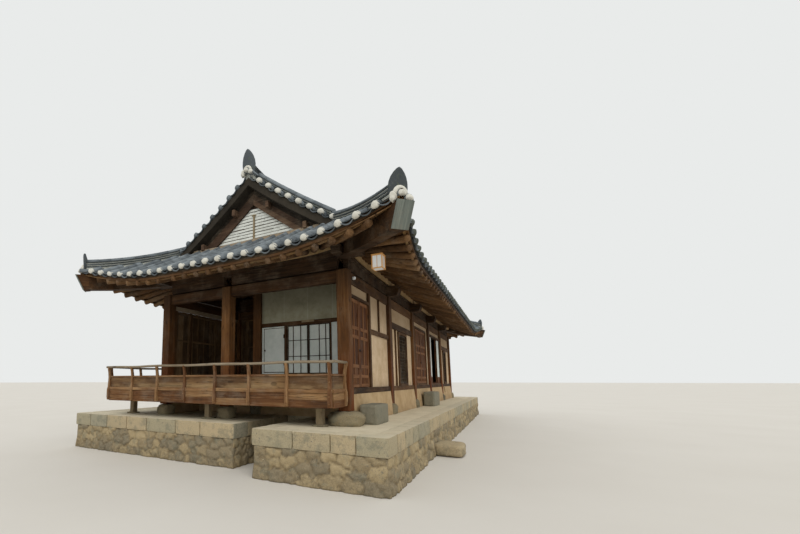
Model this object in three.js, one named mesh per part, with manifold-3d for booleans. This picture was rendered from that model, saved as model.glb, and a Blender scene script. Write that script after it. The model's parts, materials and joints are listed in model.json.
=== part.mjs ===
// Hanok house with a hip-and-gable tiled roof, a railed timber hall at its front end and a stone platform.
// Millimetres, +Z up. X runs across the house, Y along it; the front end faces -Y. The origin is on the ground
// under the middle of the ridge.
import * as THREE from 'three';
import { mergeVertices } from 'three/addons/utils/BufferGeometryUtils.js';
import Module from 'manifold-3d';

const wasm = await Module();
wasm.setup();

// Driving dimensions: plan
const HALF_WIDTH = 2460; // ridge line to the side column lines
const HALF_LENGTH = 7125; // middle of the house to the end column lines
const MIDDLE_X = -480; // column line between the two end bays
const TOE = 1320; // depth of the narrow bay behind each end column line
const ROWS = [-4075, -1275, 1525, 4325]; // side columns between the corners
const TOE_Y = HALF_LENGTH - TOE;
const COLUMN = 240;
const HALF_COLUMN = COLUMN / 2;

// Driving dimensions: heights above the ground
const PLATFORM_TOP = 860;
const PAD_TOP = 890;
const STONE_TOP = 1120;
const FLOOR_UNDER = 1440;
const FLOOR_TOP = 1500;
const SILL_TOP = 1560;
const LINTEL_UNDER = 3700;
const COLUMN_TOP = 3940;
const PURLIN_UNDER = 4200;
const BEAM_TOP = 4340;
const MID_PURLIN_UNDER = 4720;
const RIDGE_PURLIN_UNDER = 5640;

// Driving dimensions: roof
const OVERHANG = 1360; // column line to the straight part of the eave
const EAVE_X = HALF_WIDTH + OVERHANG;
const EAVE_Y = HALF_LENGTH + OVERHANG;
const EAVE_TOP = 4100;
const SOFFIT = 3990; // underside of the eave boards at the eave
const CORNER_RISE = 420; // how much an eave climbs to its corner
const CORNER_REACH = 2500;
const CORNER_FLARE = 220; // how much the eave bows outwards at its corner
const RAFTER_SLOPE = 0.4;
const UPPER_SLOPE = 0.75;
const BOARD = 25;
const RAFTER_FLATS = 120; // across the flats of a rafter
const RAFTER_DROP = RAFTER_FLATS * Math.hypot(1, RAFTER_SLOPE); // measured straight down
const RAFTER_BITE = 8; // how far a rafter's top stands in the boards
const RAFTER_END = 110; // eave edge to the rafters' ends
const RAFTER_SPACING = 330;
const MID_PURLIN_S = EAVE_X - 1140;
const VERGE_Y = 7050; // edge of the gable overhang
const VERGE_S = EAVE_Y - VERGE_Y;
const BARGE_Y = 6825;
const SLAB_END = 6325; // the slopes are a thin slab from here to the verge
const GABLE_Y = 6755; // outer face of the gable wall, close behind the bargeboards
const GABLE_WALL = 60;
const VERGE_SLAB = 200;

const GAP = 0.3; // left between pieces that rest on each other
const SWING_GAP = 5; // left round a door leaf

const WOOD = { color: 0x6b4a32, roughness: 0.8, metalness: 0 };
const DARK_WOOD = { color: 0x453022, roughness: 0.85, metalness: 0 };
const PLASTER = { color: 0xc2a684, roughness: 0.95, metalness: 0 };
const PAPER = { color: 0xd3d8d4, roughness: 0.9, metalness: 0 };
const GRANITE = { color: 0xa19a8c, roughness: 0.95, metalness: 0 };
const TILE = { color: 0x5b6469, roughness: 0.7, metalness: 0 };
const LIME = { color: 0xd9d6cc, roughness: 0.95, metalness: 0 };

const house = new THREE.Group();

// Solids

function turnedOut(geometry) {
  const position = geometry.attributes.position;
  const index = geometry.index;
  const a = new THREE.Vector3();
  const b = new THREE.Vector3();
  const c = new THREE.Vector3();
  let volume = 0;
  for (let i = 0; i < index.count; i += 3) {
    a.fromBufferAttribute(position, index.getX(i));
    b.fromBufferAttribute(position, index.getX(i + 1));
    c.fromBufferAttribute(position, index.getX(i + 2));
    volume += a.dot(b.cross(c));
  }
  if (volume < 0) {
    const order = Array.from(index.array);
    for (let i = 0; i < order.length; i += 3) [order[i], order[i + 1]] = [order[i + 1], order[i]];
    geometry.setIndex(order);
  }
  return geometry;
}

function solid(geometry) {
  const bare = geometry.clone();
  bare.deleteAttribute('normal');
  bare.deleteAttribute('uv');
  const merged = turnedOut(mergeVertices(bare, 1e-3));
  return new wasm.Manifold(new wasm.Mesh({
    numProp: 3,
    vertProperties: new Float32Array(merged.attributes.position.array),
    triVerts: new Uint32Array(merged.index.array),
  }));
}

const join = (pieces) => pieces.reduce((whole, piece) => whole.add(piece));
const cut = (whole, pieces) => pieces.reduce((left, piece) => left.subtract(piece), whole);
const largest = (piece) => (
  piece.decompose().reduce((best, next) => (next.volume() > best.volume() ? next : best)));

function box(x0, x1, y0, y1, z0, z1) {
  const geometry = new THREE.BoxGeometry(x1 - x0, y1 - y0, z1 - z0);
  geometry.translate((x0 + x1) / 2, (y0 + y1) / 2, (z0 + z1) / 2);
  return solid(geometry);
}

// A box of across x along cells whose corners are put in place by place(i, j, k), k being 0 below and 1 above.
function warped(across, along, place) {
  const geometry = new THREE.BoxGeometry(1, 1, 1, across, along, 1);
  const position = geometry.attributes.position;
  for (let n = 0; n < position.count; n++) {
    const i = Math.round((position.getX(n) + 0.5) * across);
    const j = Math.round((position.getY(n) + 0.5) * along);
    position.setXYZ(n, ...place(i, j, position.getZ(n) > 0 ? 1 : 0));
  }
  return solid(geometry);
}

// A prism of an outline, pushed along a world axis. The outline's points are in the two other axes, in order.
function prism(axis, points, from, to) {
  const shape = new THREE.Shape(points.map(([u, v]) => new THREE.Vector2(u, v)));
  const geometry = new THREE.ExtrudeGeometry(shape, { depth: to - from, bevelEnabled: false });
  const position = geometry.attributes.position;
  for (let n = 0; n < position.count; n++) {
    const u = position.getX(n);
    const v = position.getY(n);
    const w = position.getZ(n) + from;
    position.setXYZ(n, ...(axis === 'x' ? [w, u, v] : axis === 'y' ? [u, w, v] : [u, v, w]));
  }
  geometry.deleteAttribute('normal');
  geometry.deleteAttribute('uv');
  return solid(mergeVertices(geometry, 1e-3));
}

function add(name, piece, look) {
  const { vertProperties, triVerts } = piece.getMesh();
  const geometry = new THREE.BufferGeometry();
  geometry.setAttribute('position', new THREE.BufferAttribute(vertProperties, 3));
  geometry.setIndex(new THREE.BufferAttribute(triVerts, 1));
  geometry.computeVertexNormals();
  const mesh = new THREE.Mesh(geometry, new THREE.MeshStandardMaterial(look));
  mesh.name = name;
  house.add(mesh);
}

// Roof surface. s is the distance in from the straight eave, u the distance along it from the corner.

const lift = (u) => CORNER_RISE * Math.max(0, 1 - u / CORNER_REACH) ** 2;
const bow = (u) => (
  CORNER_FLARE * (Math.max(0, 1 - u / CORNER_REACH) / (1 + CORNER_FLARE / CORNER_REACH)) ** 2);
const curve = (s) => EAVE_TOP + 0.5 * s + 4e-5 * s * s;
const soffit = (s) => (
  SOFFIT + RAFTER_SLOPE * Math.min(s, MID_PURLIN_S) + UPPER_SLOPE * Math.max(0, s - MID_PURLIN_S));

// the tile bed rises clear of the eave boards where both are twisted up to a corner
const bed = (s, u) => lift(u) + soffit(s) + BOARD + GAP + 45 * Math.min(1, 6 * Math.max(0, 1 - u / 2750));

const SLOPE_STEPS = [0, 450, 950, VERGE_S, 2160, MID_PURLIN_S, 3250, EAVE_X];
function roofTop(s) {
  const n = Math.min(SLOPE_STEPS.length - 2, Math.max(0, SLOPE_STEPS.findIndex((step) => s < step) - 1));
  const [a, b] = s >= EAVE_X ? SLOPE_STEPS.slice(-2) : [SLOPE_STEPS[n], SLOPE_STEPS[n + 1]];
  return THREE.MathUtils.lerp(curve(a), curve(b), (s - a) / (b - a));
}

// Plan of a slope. A long slope faces +X or -X, a short one faces +Y or -Y; side is +1 or -1.
const longPlan = (side) => (s, along) => [side * (EAVE_X - s), along];
const shortPlan = (side) => (s, along) => [along, side * (EAVE_Y - s)];

// Stations along a slope: fractions of the way from its corner to the start of its straight part.
const CORNER_STEPS = [0, 0.2, 0.42, 0.68, 1];

// One long slope's cell corners: distance along the eave for station i at distance s from the eave.
function longStations(s) {
  const inner = EAVE_Y - CORNER_REACH;
  const outer = s < VERGE_S ? EAVE_Y - s : VERGE_Y;
  const half = [...CORNER_STEPS.map((f) => THREE.MathUtils.lerp(outer, SLAB_END, f)), SLAB_END - 1, inner];
  return [...half, ...half.toReversed().map((y) => -y)];
}

function shortStations(s) {
  const outer = EAVE_X - s;
  const half = CORNER_STEPS.map((f) => outer * (1 - f * 0.6));
  return [...half, ...half.toReversed().map((x) => -x)];
}

// A layer of a slope between two heights. bottom and top take s, u and the station and step of the corner.
function slopeLayer({ plan, stations, length, steps, bottom, top, trim = 0, grow = 0 }) {
  const count = stations(0).length;
  return warped(count - 1, steps.length - 1, (i, j, k) => {
    const eave = j === 0;
    const reach = stations(Math.max(steps[j], 0))[i];
    let s = steps[j];
    let along = reach;
    if (eave) {
      const fromCorner = length - Math.abs(reach);
      s = -bow(fromCorner - CORNER_FLARE * Math.max(0, 1 - fromCorner / CORNER_REACH));
      along = reach + Math.sign(reach) * CORNER_FLARE * Math.max(0, 1 - fromCorner / 600) ** 2;
      if (i === 0 || i === count - 1) s = -CORNER_FLARE;
      s -= grow;
    }
    if (j === steps.length - 1) s += grow;
    if (i === 0 || i === count - 1) along -= Math.sign(reach) * (trim - grow);
    const u = length - Math.abs(along);
    const height = (k === 0 ? bottom : top)(s, u, i, j);
    return [...plan(s, along), height];
  });
}

const LONG_STEPS = [0, 450, 950, VERGE_S - 1, VERGE_S, 2160, MID_PURLIN_S, 3250, EAVE_X - GAP];
const OVERHANG_STATIONS = CORNER_STEPS.length;

function longSlope(side, raise = 0, grow = 0) {
  const count = longStations(0).length;
  const thin = (i, j) => j >= 4 && (i < OVERHANG_STATIONS || i >= count - OVERHANG_STATIONS);
  return slopeLayer({
    plan: longPlan(side),
    stations: longStations,
    length: EAVE_Y,
    steps: LONG_STEPS,
    grow,
    bottom: (s, u, i, j) => raise + (thin(i, j) ? lift(u) + roofTop(s) - VERGE_SLAB : bed(s, u)),
    top: (s, u) => raise + lift(u) + roofTop(s),
  });
}

const SHORT_END = 2160;
const SHORT_STEPS = [0, 450, 950, VERGE_S, SHORT_END];
function shortSlope(side, raise = 0, grow = 0) {
  return slopeLayer({
    plan: shortPlan(side),
    stations: shortStations,
    length: EAVE_X,
    steps: SHORT_STEPS,
    grow,
    trim: GAP,
    bottom: (s, u) => raise + bed(s, u),
    top: (s, u) => raise + lift(u) + roofTop(s),
  });
}

// Rafters and their boards

function rafter(outer, inner) {
  const line = new THREE.LineCurve3(new THREE.Vector3(...outer), new THREE.Vector3(...inner));
  const length = line.getLength();
  const geometry = new THREE.BoxGeometry(RAFTER_FLATS, RAFTER_FLATS, length);
  const forward = line.getTangent(0);
  const level = new THREE.Vector3(0, 0, 1).cross(forward).normalize();
  const upward = forward.clone().cross(level);
  const turn = new THREE.Matrix4().makeBasis(level, upward, forward);
  geometry.applyMatrix4(turn);
  geometry.translate(...line.getPoint(0.5).toArray());
  return solid(geometry);
}

const AXIS_DROP = RAFTER_DROP / 2 - RAFTER_BITE; // soffit down to a rafter's axis, straight down
const FAN_DROP = AXIS_DROP + 4; // fan rafters sit lower, because the boards between their ends sag
const FAN_COUNT = 7;
const FANS_AT_HIP = 4; // fan rafters nearest the hip, which are trimmed by it
const FAN_INNER_S = OVERHANG + 240;
const INNER_END_S = MID_PURLIN_S + 80;

function straightRafters(plan, half) {
  const count = Math.floor((2 * half) / RAFTER_SPACING);
  const pieces = [];
  for (let n = 0; n <= count; n++) {
    const along = -half + (2 * half * n) / count;
    const at = (s) => [...plan(s, along), soffit(s) - AXIS_DROP];
    // stay on the lower slope's line past the mid purlin
    const bottom = RAFTER_SLOPE * (MID_PURLIN_S - INNER_END_S);
    pieces.push(rafter(at(RAFTER_END), [...plan(INNER_END_S, along),
      soffit(MID_PURLIN_S) - bottom - AXIS_DROP]));
  }
  return pieces;
}

function fanRafters(plan, length, end) {
  const pieces = [];
  for (let n = 1; n <= FAN_COUNT; n++) {
    const u = (MID_PURLIN_S * n) / (FAN_COUNT + 1);
    const outerS = RAFTER_END - bow(u);
    const share = (MID_PURLIN_S - FAN_INNER_S) / MID_PURLIN_S;
    const innerU = MID_PURLIN_S + (u - MID_PURLIN_S) * share;
    const at = (s, uu) => [...plan(s, end * (length - uu)), soffit(s) + lift(uu) - FAN_DROP];
    pieces.push(rafter(at(outerS, u), at(FAN_INNER_S, innerU)));
  }
  return pieces;
}

const TWIST_STEPS = [0, 450, 950, VERGE_S, 2160, MID_PURLIN_S];
function boards(plan, stations, length, trim, steps = TWIST_STEPS) {
  return slopeLayer({
    plan,
    stations,
    length,
    steps,
    trim,
    bottom: (s, u) => lift(u) + soffit(s),
    top: (s, u) => lift(u) + soffit(s) + BOARD,
  });
}

function longBoardStations(s) {
  const inner = EAVE_Y - CORNER_REACH;
  const outer = EAVE_Y - s;
  const half = CORNER_STEPS.map((f) => THREE.MathUtils.lerp(outer, Math.min(outer, inner), f));
  return [...half, ...half.toReversed().map((y) => -y)];
}

// Timber frame of the roof

const HIP_HALF_WIDTH = 110;
const HIP_DEPTH = 340;
const HIP_TIP_S = -120;
function hipRafter(sideX, sideY, extra = 0) {
  const steps = [HIP_TIP_S, 450, 950, OVERHANG, 2160, MID_PURLIN_S];
  return warped(1, steps.length - 1, (i, j, k) => {
    const s = steps[j] - (j === 0 ? extra : 0);
    const offset = (i === 0 ? -1 : 1) * (HIP_HALF_WIDTH + extra) * Math.SQRT1_2;
    const fall = HIP_HALF_WIDTH * Math.SQRT1_2 * RAFTER_SLOPE;
    const high = soffit(s) + lift(s) - fall - 35;
    return [sideX * (EAVE_X - s + offset), sideY * (EAVE_Y - s - offset),
      k === 0 ? high - HIP_DEPTH - extra : high + extra];
  });
}

const PURLIN_HALF = 100;
const PURLIN_HEAD = 420;
const CORNERS = [[1, 1], [1, -1], [-1, 1], [-1, -1]];

// The purlin bars use stations that start at their own mitred corner.
function purlinBar(plan, length, raise = 0) {
  const fractions = [0, 0.5, 1];
  const steps = [OVERHANG - PURLIN_HALF, OVERHANG + PURLIN_HALF];
  const stationsAt = (s) => {
    const outer = length - s;
    const inner = length - CORNER_REACH;
    const half = fractions.map((f) => THREE.MathUtils.lerp(outer, Math.max(inner, 0), f));
    return [...half, ...half.toReversed().map((y) => -y)];
  };
  const count = fractions.length * 2;
  return warped(count - 1, 1, (i, j, k) => {
    const s = steps[j];
    const along = stationsAt(s)[i];
    const u = length - Math.abs(along);
    const fanBed = 45 * Math.min(1, 4 * Math.max(0, 1 - u / MID_PURLIN_S)); // fan rafters lie lower
    const top = soffit(s) + lift(u) + RAFTER_BITE - RAFTER_DROP - GAP - fanBed;
    return [...plan(s, along), (k === 0 ? PURLIN_UNDER : top) + raise];
  });
}

const HEAD_TOP = 4340;
function purlinHeads() {
  const x = HALF_WIDTH;
  const y = HALF_LENGTH;
  return [
    ...[-1, 1].map((side) => box(side * x - PURLIN_HALF, side * x + PURLIN_HALF, -y - PURLIN_HEAD,
      y + PURLIN_HEAD, PURLIN_UNDER, HEAD_TOP)),
    ...[-1, 1].map((side) => box(-x - PURLIN_HEAD, x + PURLIN_HEAD, side * y - PURLIN_HALF,
      side * y + PURLIN_HALF, PURLIN_UNDER, HEAD_TOP)),
  ];
}

const STRIP_HALF = 55; // the strip under each eave purlin
const STRIP_UNDER = COLUMN_TOP + 40;
const BEAM_HALF = 140;
function purlinStrips() {
  const pieces = [];
  const rows = [-HALF_LENGTH, ...ROWS, HALF_LENGTH];
  for (const side of [-1, 1]) {
    const x = side * HALF_WIDTH;
    for (let n = 0; n + 1 < rows.length; n++) {
      const y0 = rows[n] + (n === 0 ? HALF_COLUMN : BEAM_HALF) + GAP;
      const y1 = rows[n + 1] - (n + 2 === rows.length ? HALF_COLUMN : BEAM_HALF) - GAP;
      pieces.push(box(x - STRIP_HALF, x + STRIP_HALF, y0, y1, STRIP_UNDER, PURLIN_UNDER + 5));
    }
    const y = side * HALF_LENGTH;
    const columns = [-HALF_WIDTH, MIDDLE_X, HALF_WIDTH];
    for (let n = 0; n < 2; n++) {
      const x0 = columns[n] + HALF_COLUMN + GAP;
      const x1 = columns[n + 1] - HALF_COLUMN - GAP;
      pieces.push(box(x0, x1, y - STRIP_HALF, y + STRIP_HALF, STRIP_UNDER, PURLIN_UNDER + 5));
    }
  }
  return pieces;
}

function eavePurlins(raise = 0) {
  const bars = [
    ...[-1, 1].map((side) => purlinBar(longPlan(side), EAVE_Y, raise)),
    ...[-1, 1].map((side) => purlinBar(shortPlan(side), EAVE_X, raise)),
  ];
  const ring = join([...bars, ...purlinHeads()]);
  return raise ? ring : join([ring, ...purlinStrips()]);
}

const BEAM_REACH = HALF_WIDTH + 400;
const POST_HALF = 90;
function crossBeam(y) {
  const inner = HALF_WIDTH - PURLIN_HALF - 15;
  const outline = [
    [-BEAM_REACH, PURLIN_UNDER - 90], [-BEAM_REACH + 60, COLUMN_TOP + GAP],
    [BEAM_REACH - 60, COLUMN_TOP + GAP], [BEAM_REACH, PURLIN_UNDER - 90], [BEAM_REACH - 30, PURLIN_UNDER - GAP], [inner, PURLIN_UNDER - GAP],
    [inner - 20, BEAM_TOP], [-inner + 20, BEAM_TOP], [-inner, PURLIN_UNDER - GAP],
    [-BEAM_REACH + 30, PURLIN_UNDER - GAP],
  ];
  return prism('y', outline, y - BEAM_HALF, y + BEAM_HALF);
}

const TOE_BEAM_UNDER = 4030;
const TOE_BEAM_TOP = 4280;
const TOE_BEAM_HALF = 90;
function roofFrame() {
  const x = EAVE_X - MID_PURLIN_S;
  const pieces = ROWS.map(crossBeam);
  const bite = 20;
  for (const side of [-1, 1]) {
    const y = side * TOE_Y;
    pieces.push(box(-HALF_WIDTH + PURLIN_HALF + GAP, HALF_WIDTH - PURLIN_HALF - GAP, y - TOE_BEAM_HALF,
      y + TOE_BEAM_HALF, TOE_BEAM_UNDER, TOE_BEAM_TOP));
  }
  for (const y of [-TOE_Y, ...ROWS, TOE_Y]) {
    const from = (Math.abs(y) === TOE_Y ? TOE_BEAM_TOP : BEAM_TOP) - bite;
    const post = (px, top) => box(px - POST_HALF, px + POST_HALF, y - POST_HALF, y + POST_HALF, from,
      top + bite);
    pieces.push(post(-x, MID_PURLIN_UNDER), post(x, MID_PURLIN_UNDER));
    if (Math.abs(y) < TOE_Y) {
      pieces.push(post(0, RIDGE_PURLIN_UNDER));
    }
  }
  // mid purlins: their tops follow the undersides of the rafters
  const under = (s) => SOFFIT + RAFTER_SLOPE * s + RAFTER_BITE - RAFTER_DROP - GAP;
  const near = MID_PURLIN_S - POST_HALF;
  const far = MID_PURLIN_S + POST_HALF;
  for (const side of [-1, 1]) {
    pieces.push(prism('y', [[side * (EAVE_X - near), MID_PURLIN_UNDER], [side * (EAVE_X - near), under(near)],
      [side * (EAVE_X - far), under(far)], [side * (EAVE_X - far), MID_PURLIN_UNDER]], -TOE_Y, TOE_Y));
    pieces.push(prism('x', [[side * (EAVE_Y - near), MID_PURLIN_UNDER], [side * (EAVE_Y - near), under(near)],
      [side * (EAVE_Y - far), under(far)], [side * (EAVE_Y - far), MID_PURLIN_UNDER]], -x, x));
  }
  const ridgePurlinEnd = GABLE_Y - GABLE_WALL - GAP;
  pieces.push(box(-POST_HALF, POST_HALF, -ridgePurlinEnd, ridgePurlinEnd, RIDGE_PURLIN_UNDER,
    soffit(EAVE_X - POST_HALF) + BOARD));
  const hips = CORNERS.map(([sx, sy]) => cut(hipRafter(sx, sy), [grownPurlins]));
  return join([...pieces, ...hips]);
}

// Ridges

const RIDGE_HALF = 130;
const RIDGE_HEIGHT = 340;
const RIDGE_UPTURN = 40;
const APEX_Y = 6530;
const ridgeTop = (y) => roofTop(EAVE_X) + lift(EAVE_Y - Math.abs(y)) + RIDGE_HEIGHT
  + RIDGE_UPTURN * Math.max(0, (Math.abs(y) - 5000) / 2000) ** 2;

function ridgeBar(ys) {
  const foot = (y) => roofTop(EAVE_X) + lift(EAVE_Y - Math.abs(y)) - 120;
  return warped(1, ys.length - 1, (i, j, k) => (
    [(i === 0 ? -1 : 1) * RIDGE_HALF, ys[j], k === 0 ? foot(ys[j]) : ridgeTop(ys[j])]));
}

const SIDE_RIDGE_HALF = 115;
const SIDE_RIDGE_HEIGHT = 250;
const GABLE_RIDGE_Y = 6650;

function gableRidge(sideX, sideY) {
  const steps = [VERGE_S + 140, 2160, MID_PURLIN_S, EAVE_X];
  return warped(1, steps.length - 1, (i, j, k) => {
    const y = sideY * (GABLE_RIDGE_Y + (i === 0 ? -1 : 1) * SIDE_RIDGE_HALF);
    const surface = roofTop(steps[j]) + lift(EAVE_Y - GABLE_RIDGE_Y);
    return [sideX * (EAVE_X - steps[j]), y, surface + (k === 0 ? -100 : SIDE_RIDGE_HEIGHT)];
  });
}

const HIP_RIDGE_STEPS = [-CORNER_FLARE + 60, 100, 450, 950, VERGE_S, EAVE_Y - GABLE_RIDGE_Y + 60];
function hipRidge(sideX, sideY) {
  return warped(1, HIP_RIDGE_STEPS.length - 1, (i, j, k) => {
    const s = HIP_RIDGE_STEPS[j];
    const offset = (i === 0 ? -1 : 1) * SIDE_RIDGE_HALF * Math.SQRT1_2;
    const upturn = 60 * Math.max(0, 1 - (s + CORNER_FLARE) / 1000) ** 2;
    const high = roofTop(s) + lift(s) + SIDE_RIDGE_HEIGHT + upturn;
    return [sideX * (EAVE_X - s + offset), sideY * (EAVE_Y - s - offset),
      k === 0 ? roofTop(s) + lift(s) - 48 : high];
  });
}

// Upright end tile of a ridge: a pointed shield, pushed outwards along its direction.
function endTile(centre, direction, width, height) {
  const outline = new THREE.Shape();
  outline.moveTo(-width / 2, 0);
  outline.lineTo(width / 2, 0);
  outline.quadraticCurveTo(width * 0.5, height * 0.72, 0, height);
  outline.quadraticCurveTo(-width * 0.5, height * 0.72, -width / 2, 0);
  const geometry = new THREE.ExtrudeGeometry(outline, { depth: 55, bevelEnabled: false, curveSegments: 3 });
  const outward = new THREE.Vector3(direction[0], direction[1], 0).normalize();
  const upward = new THREE.Vector3(0, 0, 1);
  geometry.applyMatrix4(new THREE.Matrix4().makeBasis(upward.clone().cross(outward), upward, outward));
  geometry.translate(...centre);
  geometry.deleteAttribute('normal');
  geometry.deleteAttribute('uv');
  return solid(mergeVertices(geometry, 1e-3));
}

function endRidges(sideY) {
  const pieces = [ridgeBar([APEX_Y, 6750, VERGE_Y].map((y) => sideY * y))];
  pieces.push(endTile([0, sideY * (VERGE_Y - 30), ridgeTop(VERGE_Y) - 230], [0, sideY], 290, 400));
  for (const sideX of [-1, 1]) {
    pieces.push(gableRidge(sideX, sideY), hipRidge(sideX, sideY));
    const s = HIP_RIDGE_STEPS[0];
    const tip = [sideX * (EAVE_X - s - 20), sideY * (EAVE_Y - s - 20), roofTop(s) + lift(s) + 60];
    pieces.push(endTile(tip, [sideX, sideY], 250, 330));
  }
  return join(pieces);
}

// Gables

const BARGE = 45;
const BARGE_DROP = 350;
const BARGE_DEPTH = 410;
const BARGE_STEPS = [VERGE_S - 60, 1800, 2160, MID_PURLIN_S, 3250, EAVE_X];
function bargeboards(sideY) {
  const pieces = [];
  for (const sideX of [-1, 1]) {
    pieces.push(warped(1, BARGE_STEPS.length - 1, (i, j, k) => {
      const s = BARGE_STEPS[j];
      const level = roofTop(s) + lift(EAVE_Y - BARGE_Y) - BARGE_DROP;
      return [sideX * (EAVE_X - s), sideY * (BARGE_Y - (i === 0 ? BARGE : 0)),
        k === 0 ? level - BARGE_DEPTH : level];
    }));
    for (const x of [500, 1500]) {
      pieces.push(warped(1, 1, (i, j, k) => {
        const at = x + (i === 0 ? -45 : 45);
        const y = j === 0 ? GABLE_Y + GAP : VERGE_Y - 60;
        const level = roofTop(EAVE_X - at) + lift(EAVE_Y - BARGE_Y);
        return [sideX * at, sideY * y, k === 0 ? level - BARGE_DROP - 30 : level - VERGE_SLAB + 20];
      }));
    }
  }
  return join(pieces);
}

function gableWall(sideY) {
  const foot = 4900;
  const half = EAVE_X - VERGE_S;
  const shoulder = foot + 200;
  const outline = [[-half, foot], [half, foot], [half, shoulder], [0, roofTop(EAVE_X) - 140],
    [-half, shoulder]];
  const middle = sideY * (GABLE_Y - GABLE_WALL / 2);
  return prism('y', outline, middle - GABLE_WALL / 2, middle + GABLE_WALL / 2);
}

// Roof assembly

const slopes = Object.fromEntries([-1, 1].map((side) => [side, {
  short: shortSlope(side),
  long: cut(longSlope(side), [shortSlope(-1, GAP), shortSlope(1, GAP)]),
}]));
// the slopes a little larger all round, to cut what stands on them or hangs under them
const grownSlopes = [-1, 1].flatMap((side) => [-GAP, GAP].flatMap((raise) => (
  [shortSlope(side, raise, 1), longSlope(side, raise, 1)])));
const grownPurlins = eavePurlins(GAP).add(eavePurlins(-GAP));

function eaves(plan, length, straightHalf, base) {
  const hips = CORNERS.map(([sx, sy]) => hipRafter(sx, sy, GAP));
  const fans = [-1, 1].flatMap((end) => fanRafters(plan, length, end).map((piece, n) => (
    n < FANS_AT_HIP ? largest(cut(piece, hips)) : piece)));
  const straight = straightRafters(plan, straightHalf);
  return join([base, ...straight, ...fans]);
}

add('roof_slope_right', slopes[1].long, TILE);
add('roof_slope_left', slopes[-1].long, TILE);
add('roof_hip_back', slopes[1].short, TILE);
add('roof_hip_front', slopes[-1].short, TILE);
add('eaves_right', eaves(longPlan(1), EAVE_Y, 5640, boards(longPlan(1), longBoardStations, EAVE_Y, 0)), WOOD);
add('eaves_left', eaves(longPlan(-1), EAVE_Y, 5640, boards(longPlan(-1), longBoardStations, EAVE_Y, 0)),
  WOOD);
add('eaves_back', eaves(shortPlan(1), EAVE_X, 990, boards(shortPlan(1), shortStations, EAVE_X, GAP)), WOOD);
add('eaves_front', eaves(shortPlan(-1), EAVE_X, 990, boards(shortPlan(-1), shortStations, EAVE_X, GAP)),
  WOOD);
add('main_ridge', cut(ridgeBar([-APEX_Y + GAP, -6000, -5000, 5000, 6000, APEX_Y - GAP]), grownSlopes), TILE);
add('front_ridges', largest(cut(endRidges(-1), grownSlopes)), TILE);
add('back_ridges', largest(cut(endRidges(1), grownSlopes)), TILE);
add('gable_wall_front', largest(cut(gableWall(-1), grownSlopes)), LIME);
add('gable_wall_back', largest(cut(gableWall(1), grownSlopes)), LIME);
add('bargeboards_front', largest(cut(bargeboards(-1), grownSlopes)), DARK_WOOD);
add('bargeboards_back', largest(cut(bargeboards(1), grownSlopes)), DARK_WOOD);
add('eave_purlins', eavePurlins(), DARK_WOOD);
add('roof_frame', roofFrame(), DARK_WOOD);

// Walls. A wall plane turns a place along the wall and a distance outwards into X and Y.

const WALLS = {
  right: (along, out) => [HALF_WIDTH + out, along],
  left: (along, out) => [-HALF_WIDTH - out, along],
  back: (along, out) => [along, HALF_LENGTH + out],
  roomFront: (along, out) => [along, -TOE_Y - out],
  roomSide: (along, out) => [MIDDLE_X - out, along],
  hallBack: (along, out) => [along, ROWS[0] - out],
};
const SHEET = 35; // half the thickness of a plaster panel
const SILL_DEPTH = [-60, 90];
const FACE_DEPTH = [SHEET + GAP, 80]; // rails and posts planted on a panel
const POST_DEPTH = [-50, 80];
const LEAF_DEPTH = [15, 55];
const JAMB = 70;

function part(wall, a0, a1, [d0, d1], z0, z1) {
  const [x0, y0] = WALLS[wall](a0, d0);
  const [x1, y1] = WALLS[wall](a1, d1);
  return box(Math.min(x0, x1), Math.max(x0, x1), Math.min(y0, y1), Math.max(y0, y1), z0, z1);
}

// A plaster panel between two timbers, cut out for the frames [a0, a1, z0, z1] that stand in it.
function panel(wall, a0, a1, z0, z1, frames = []) {
  const sheet = part(wall, a0 + GAP, a1 - GAP, [-SHEET, SHEET], z0 + GAP, z1 - GAP);
  return cut(sheet, frames.map(([b0, b1, c0, c1]) => part(wall, b0 - GAP, b1 + GAP, [-90, 90], c0 - GAP,
    c1 + GAP)));
}

// The timber frame round an opening [a0, a1, z0, z1], standing on the sill.
function casing(wall, [a0, a1, z0, z1]) {
  return [
    part(wall, a0 - JAMB, a0, POST_DEPTH, SILL_TOP - 5, z1 + JAMB),
    part(wall, a1, a1 + JAMB, POST_DEPTH, SILL_TOP - 5, z1 + JAMB),
    part(wall, a0 - JAMB, a1 + JAMB, POST_DEPTH, z1, z1 + JAMB),
    ...(z0 > SILL_TOP ? [part(wall, a0 - JAMB, a1 + JAMB, POST_DEPTH, SILL_TOP - 5, z0)] : []),
  ];
}
const casingHole = ([a0, a1, z0, z1]) => [a0 - JAMB, a1 + JAMB, SILL_TOP - 5, z1 + JAMB];

// A framed and panelled leaf, its rails at the given heights.
const STILE = 70;
function panelled(wall, a0, a1, z0, z1, rails, [d0, d1] = LEAF_DEPTH) {
  const middle = (d0 + d1) / 2;
  return join([
    part(wall, a0, a1, [middle - 8, middle + 8], z0, z1),
    part(wall, a0, a0 + STILE, [d0, d1], z0, z1),
    part(wall, a1 - STILE, a1, [d0, d1], z0, z1),
    ...[z0, z1 - STILE, ...rails].map((z) => part(wall, a0, a1, [d0, d1], z, z + STILE)),
  ]);
}

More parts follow.
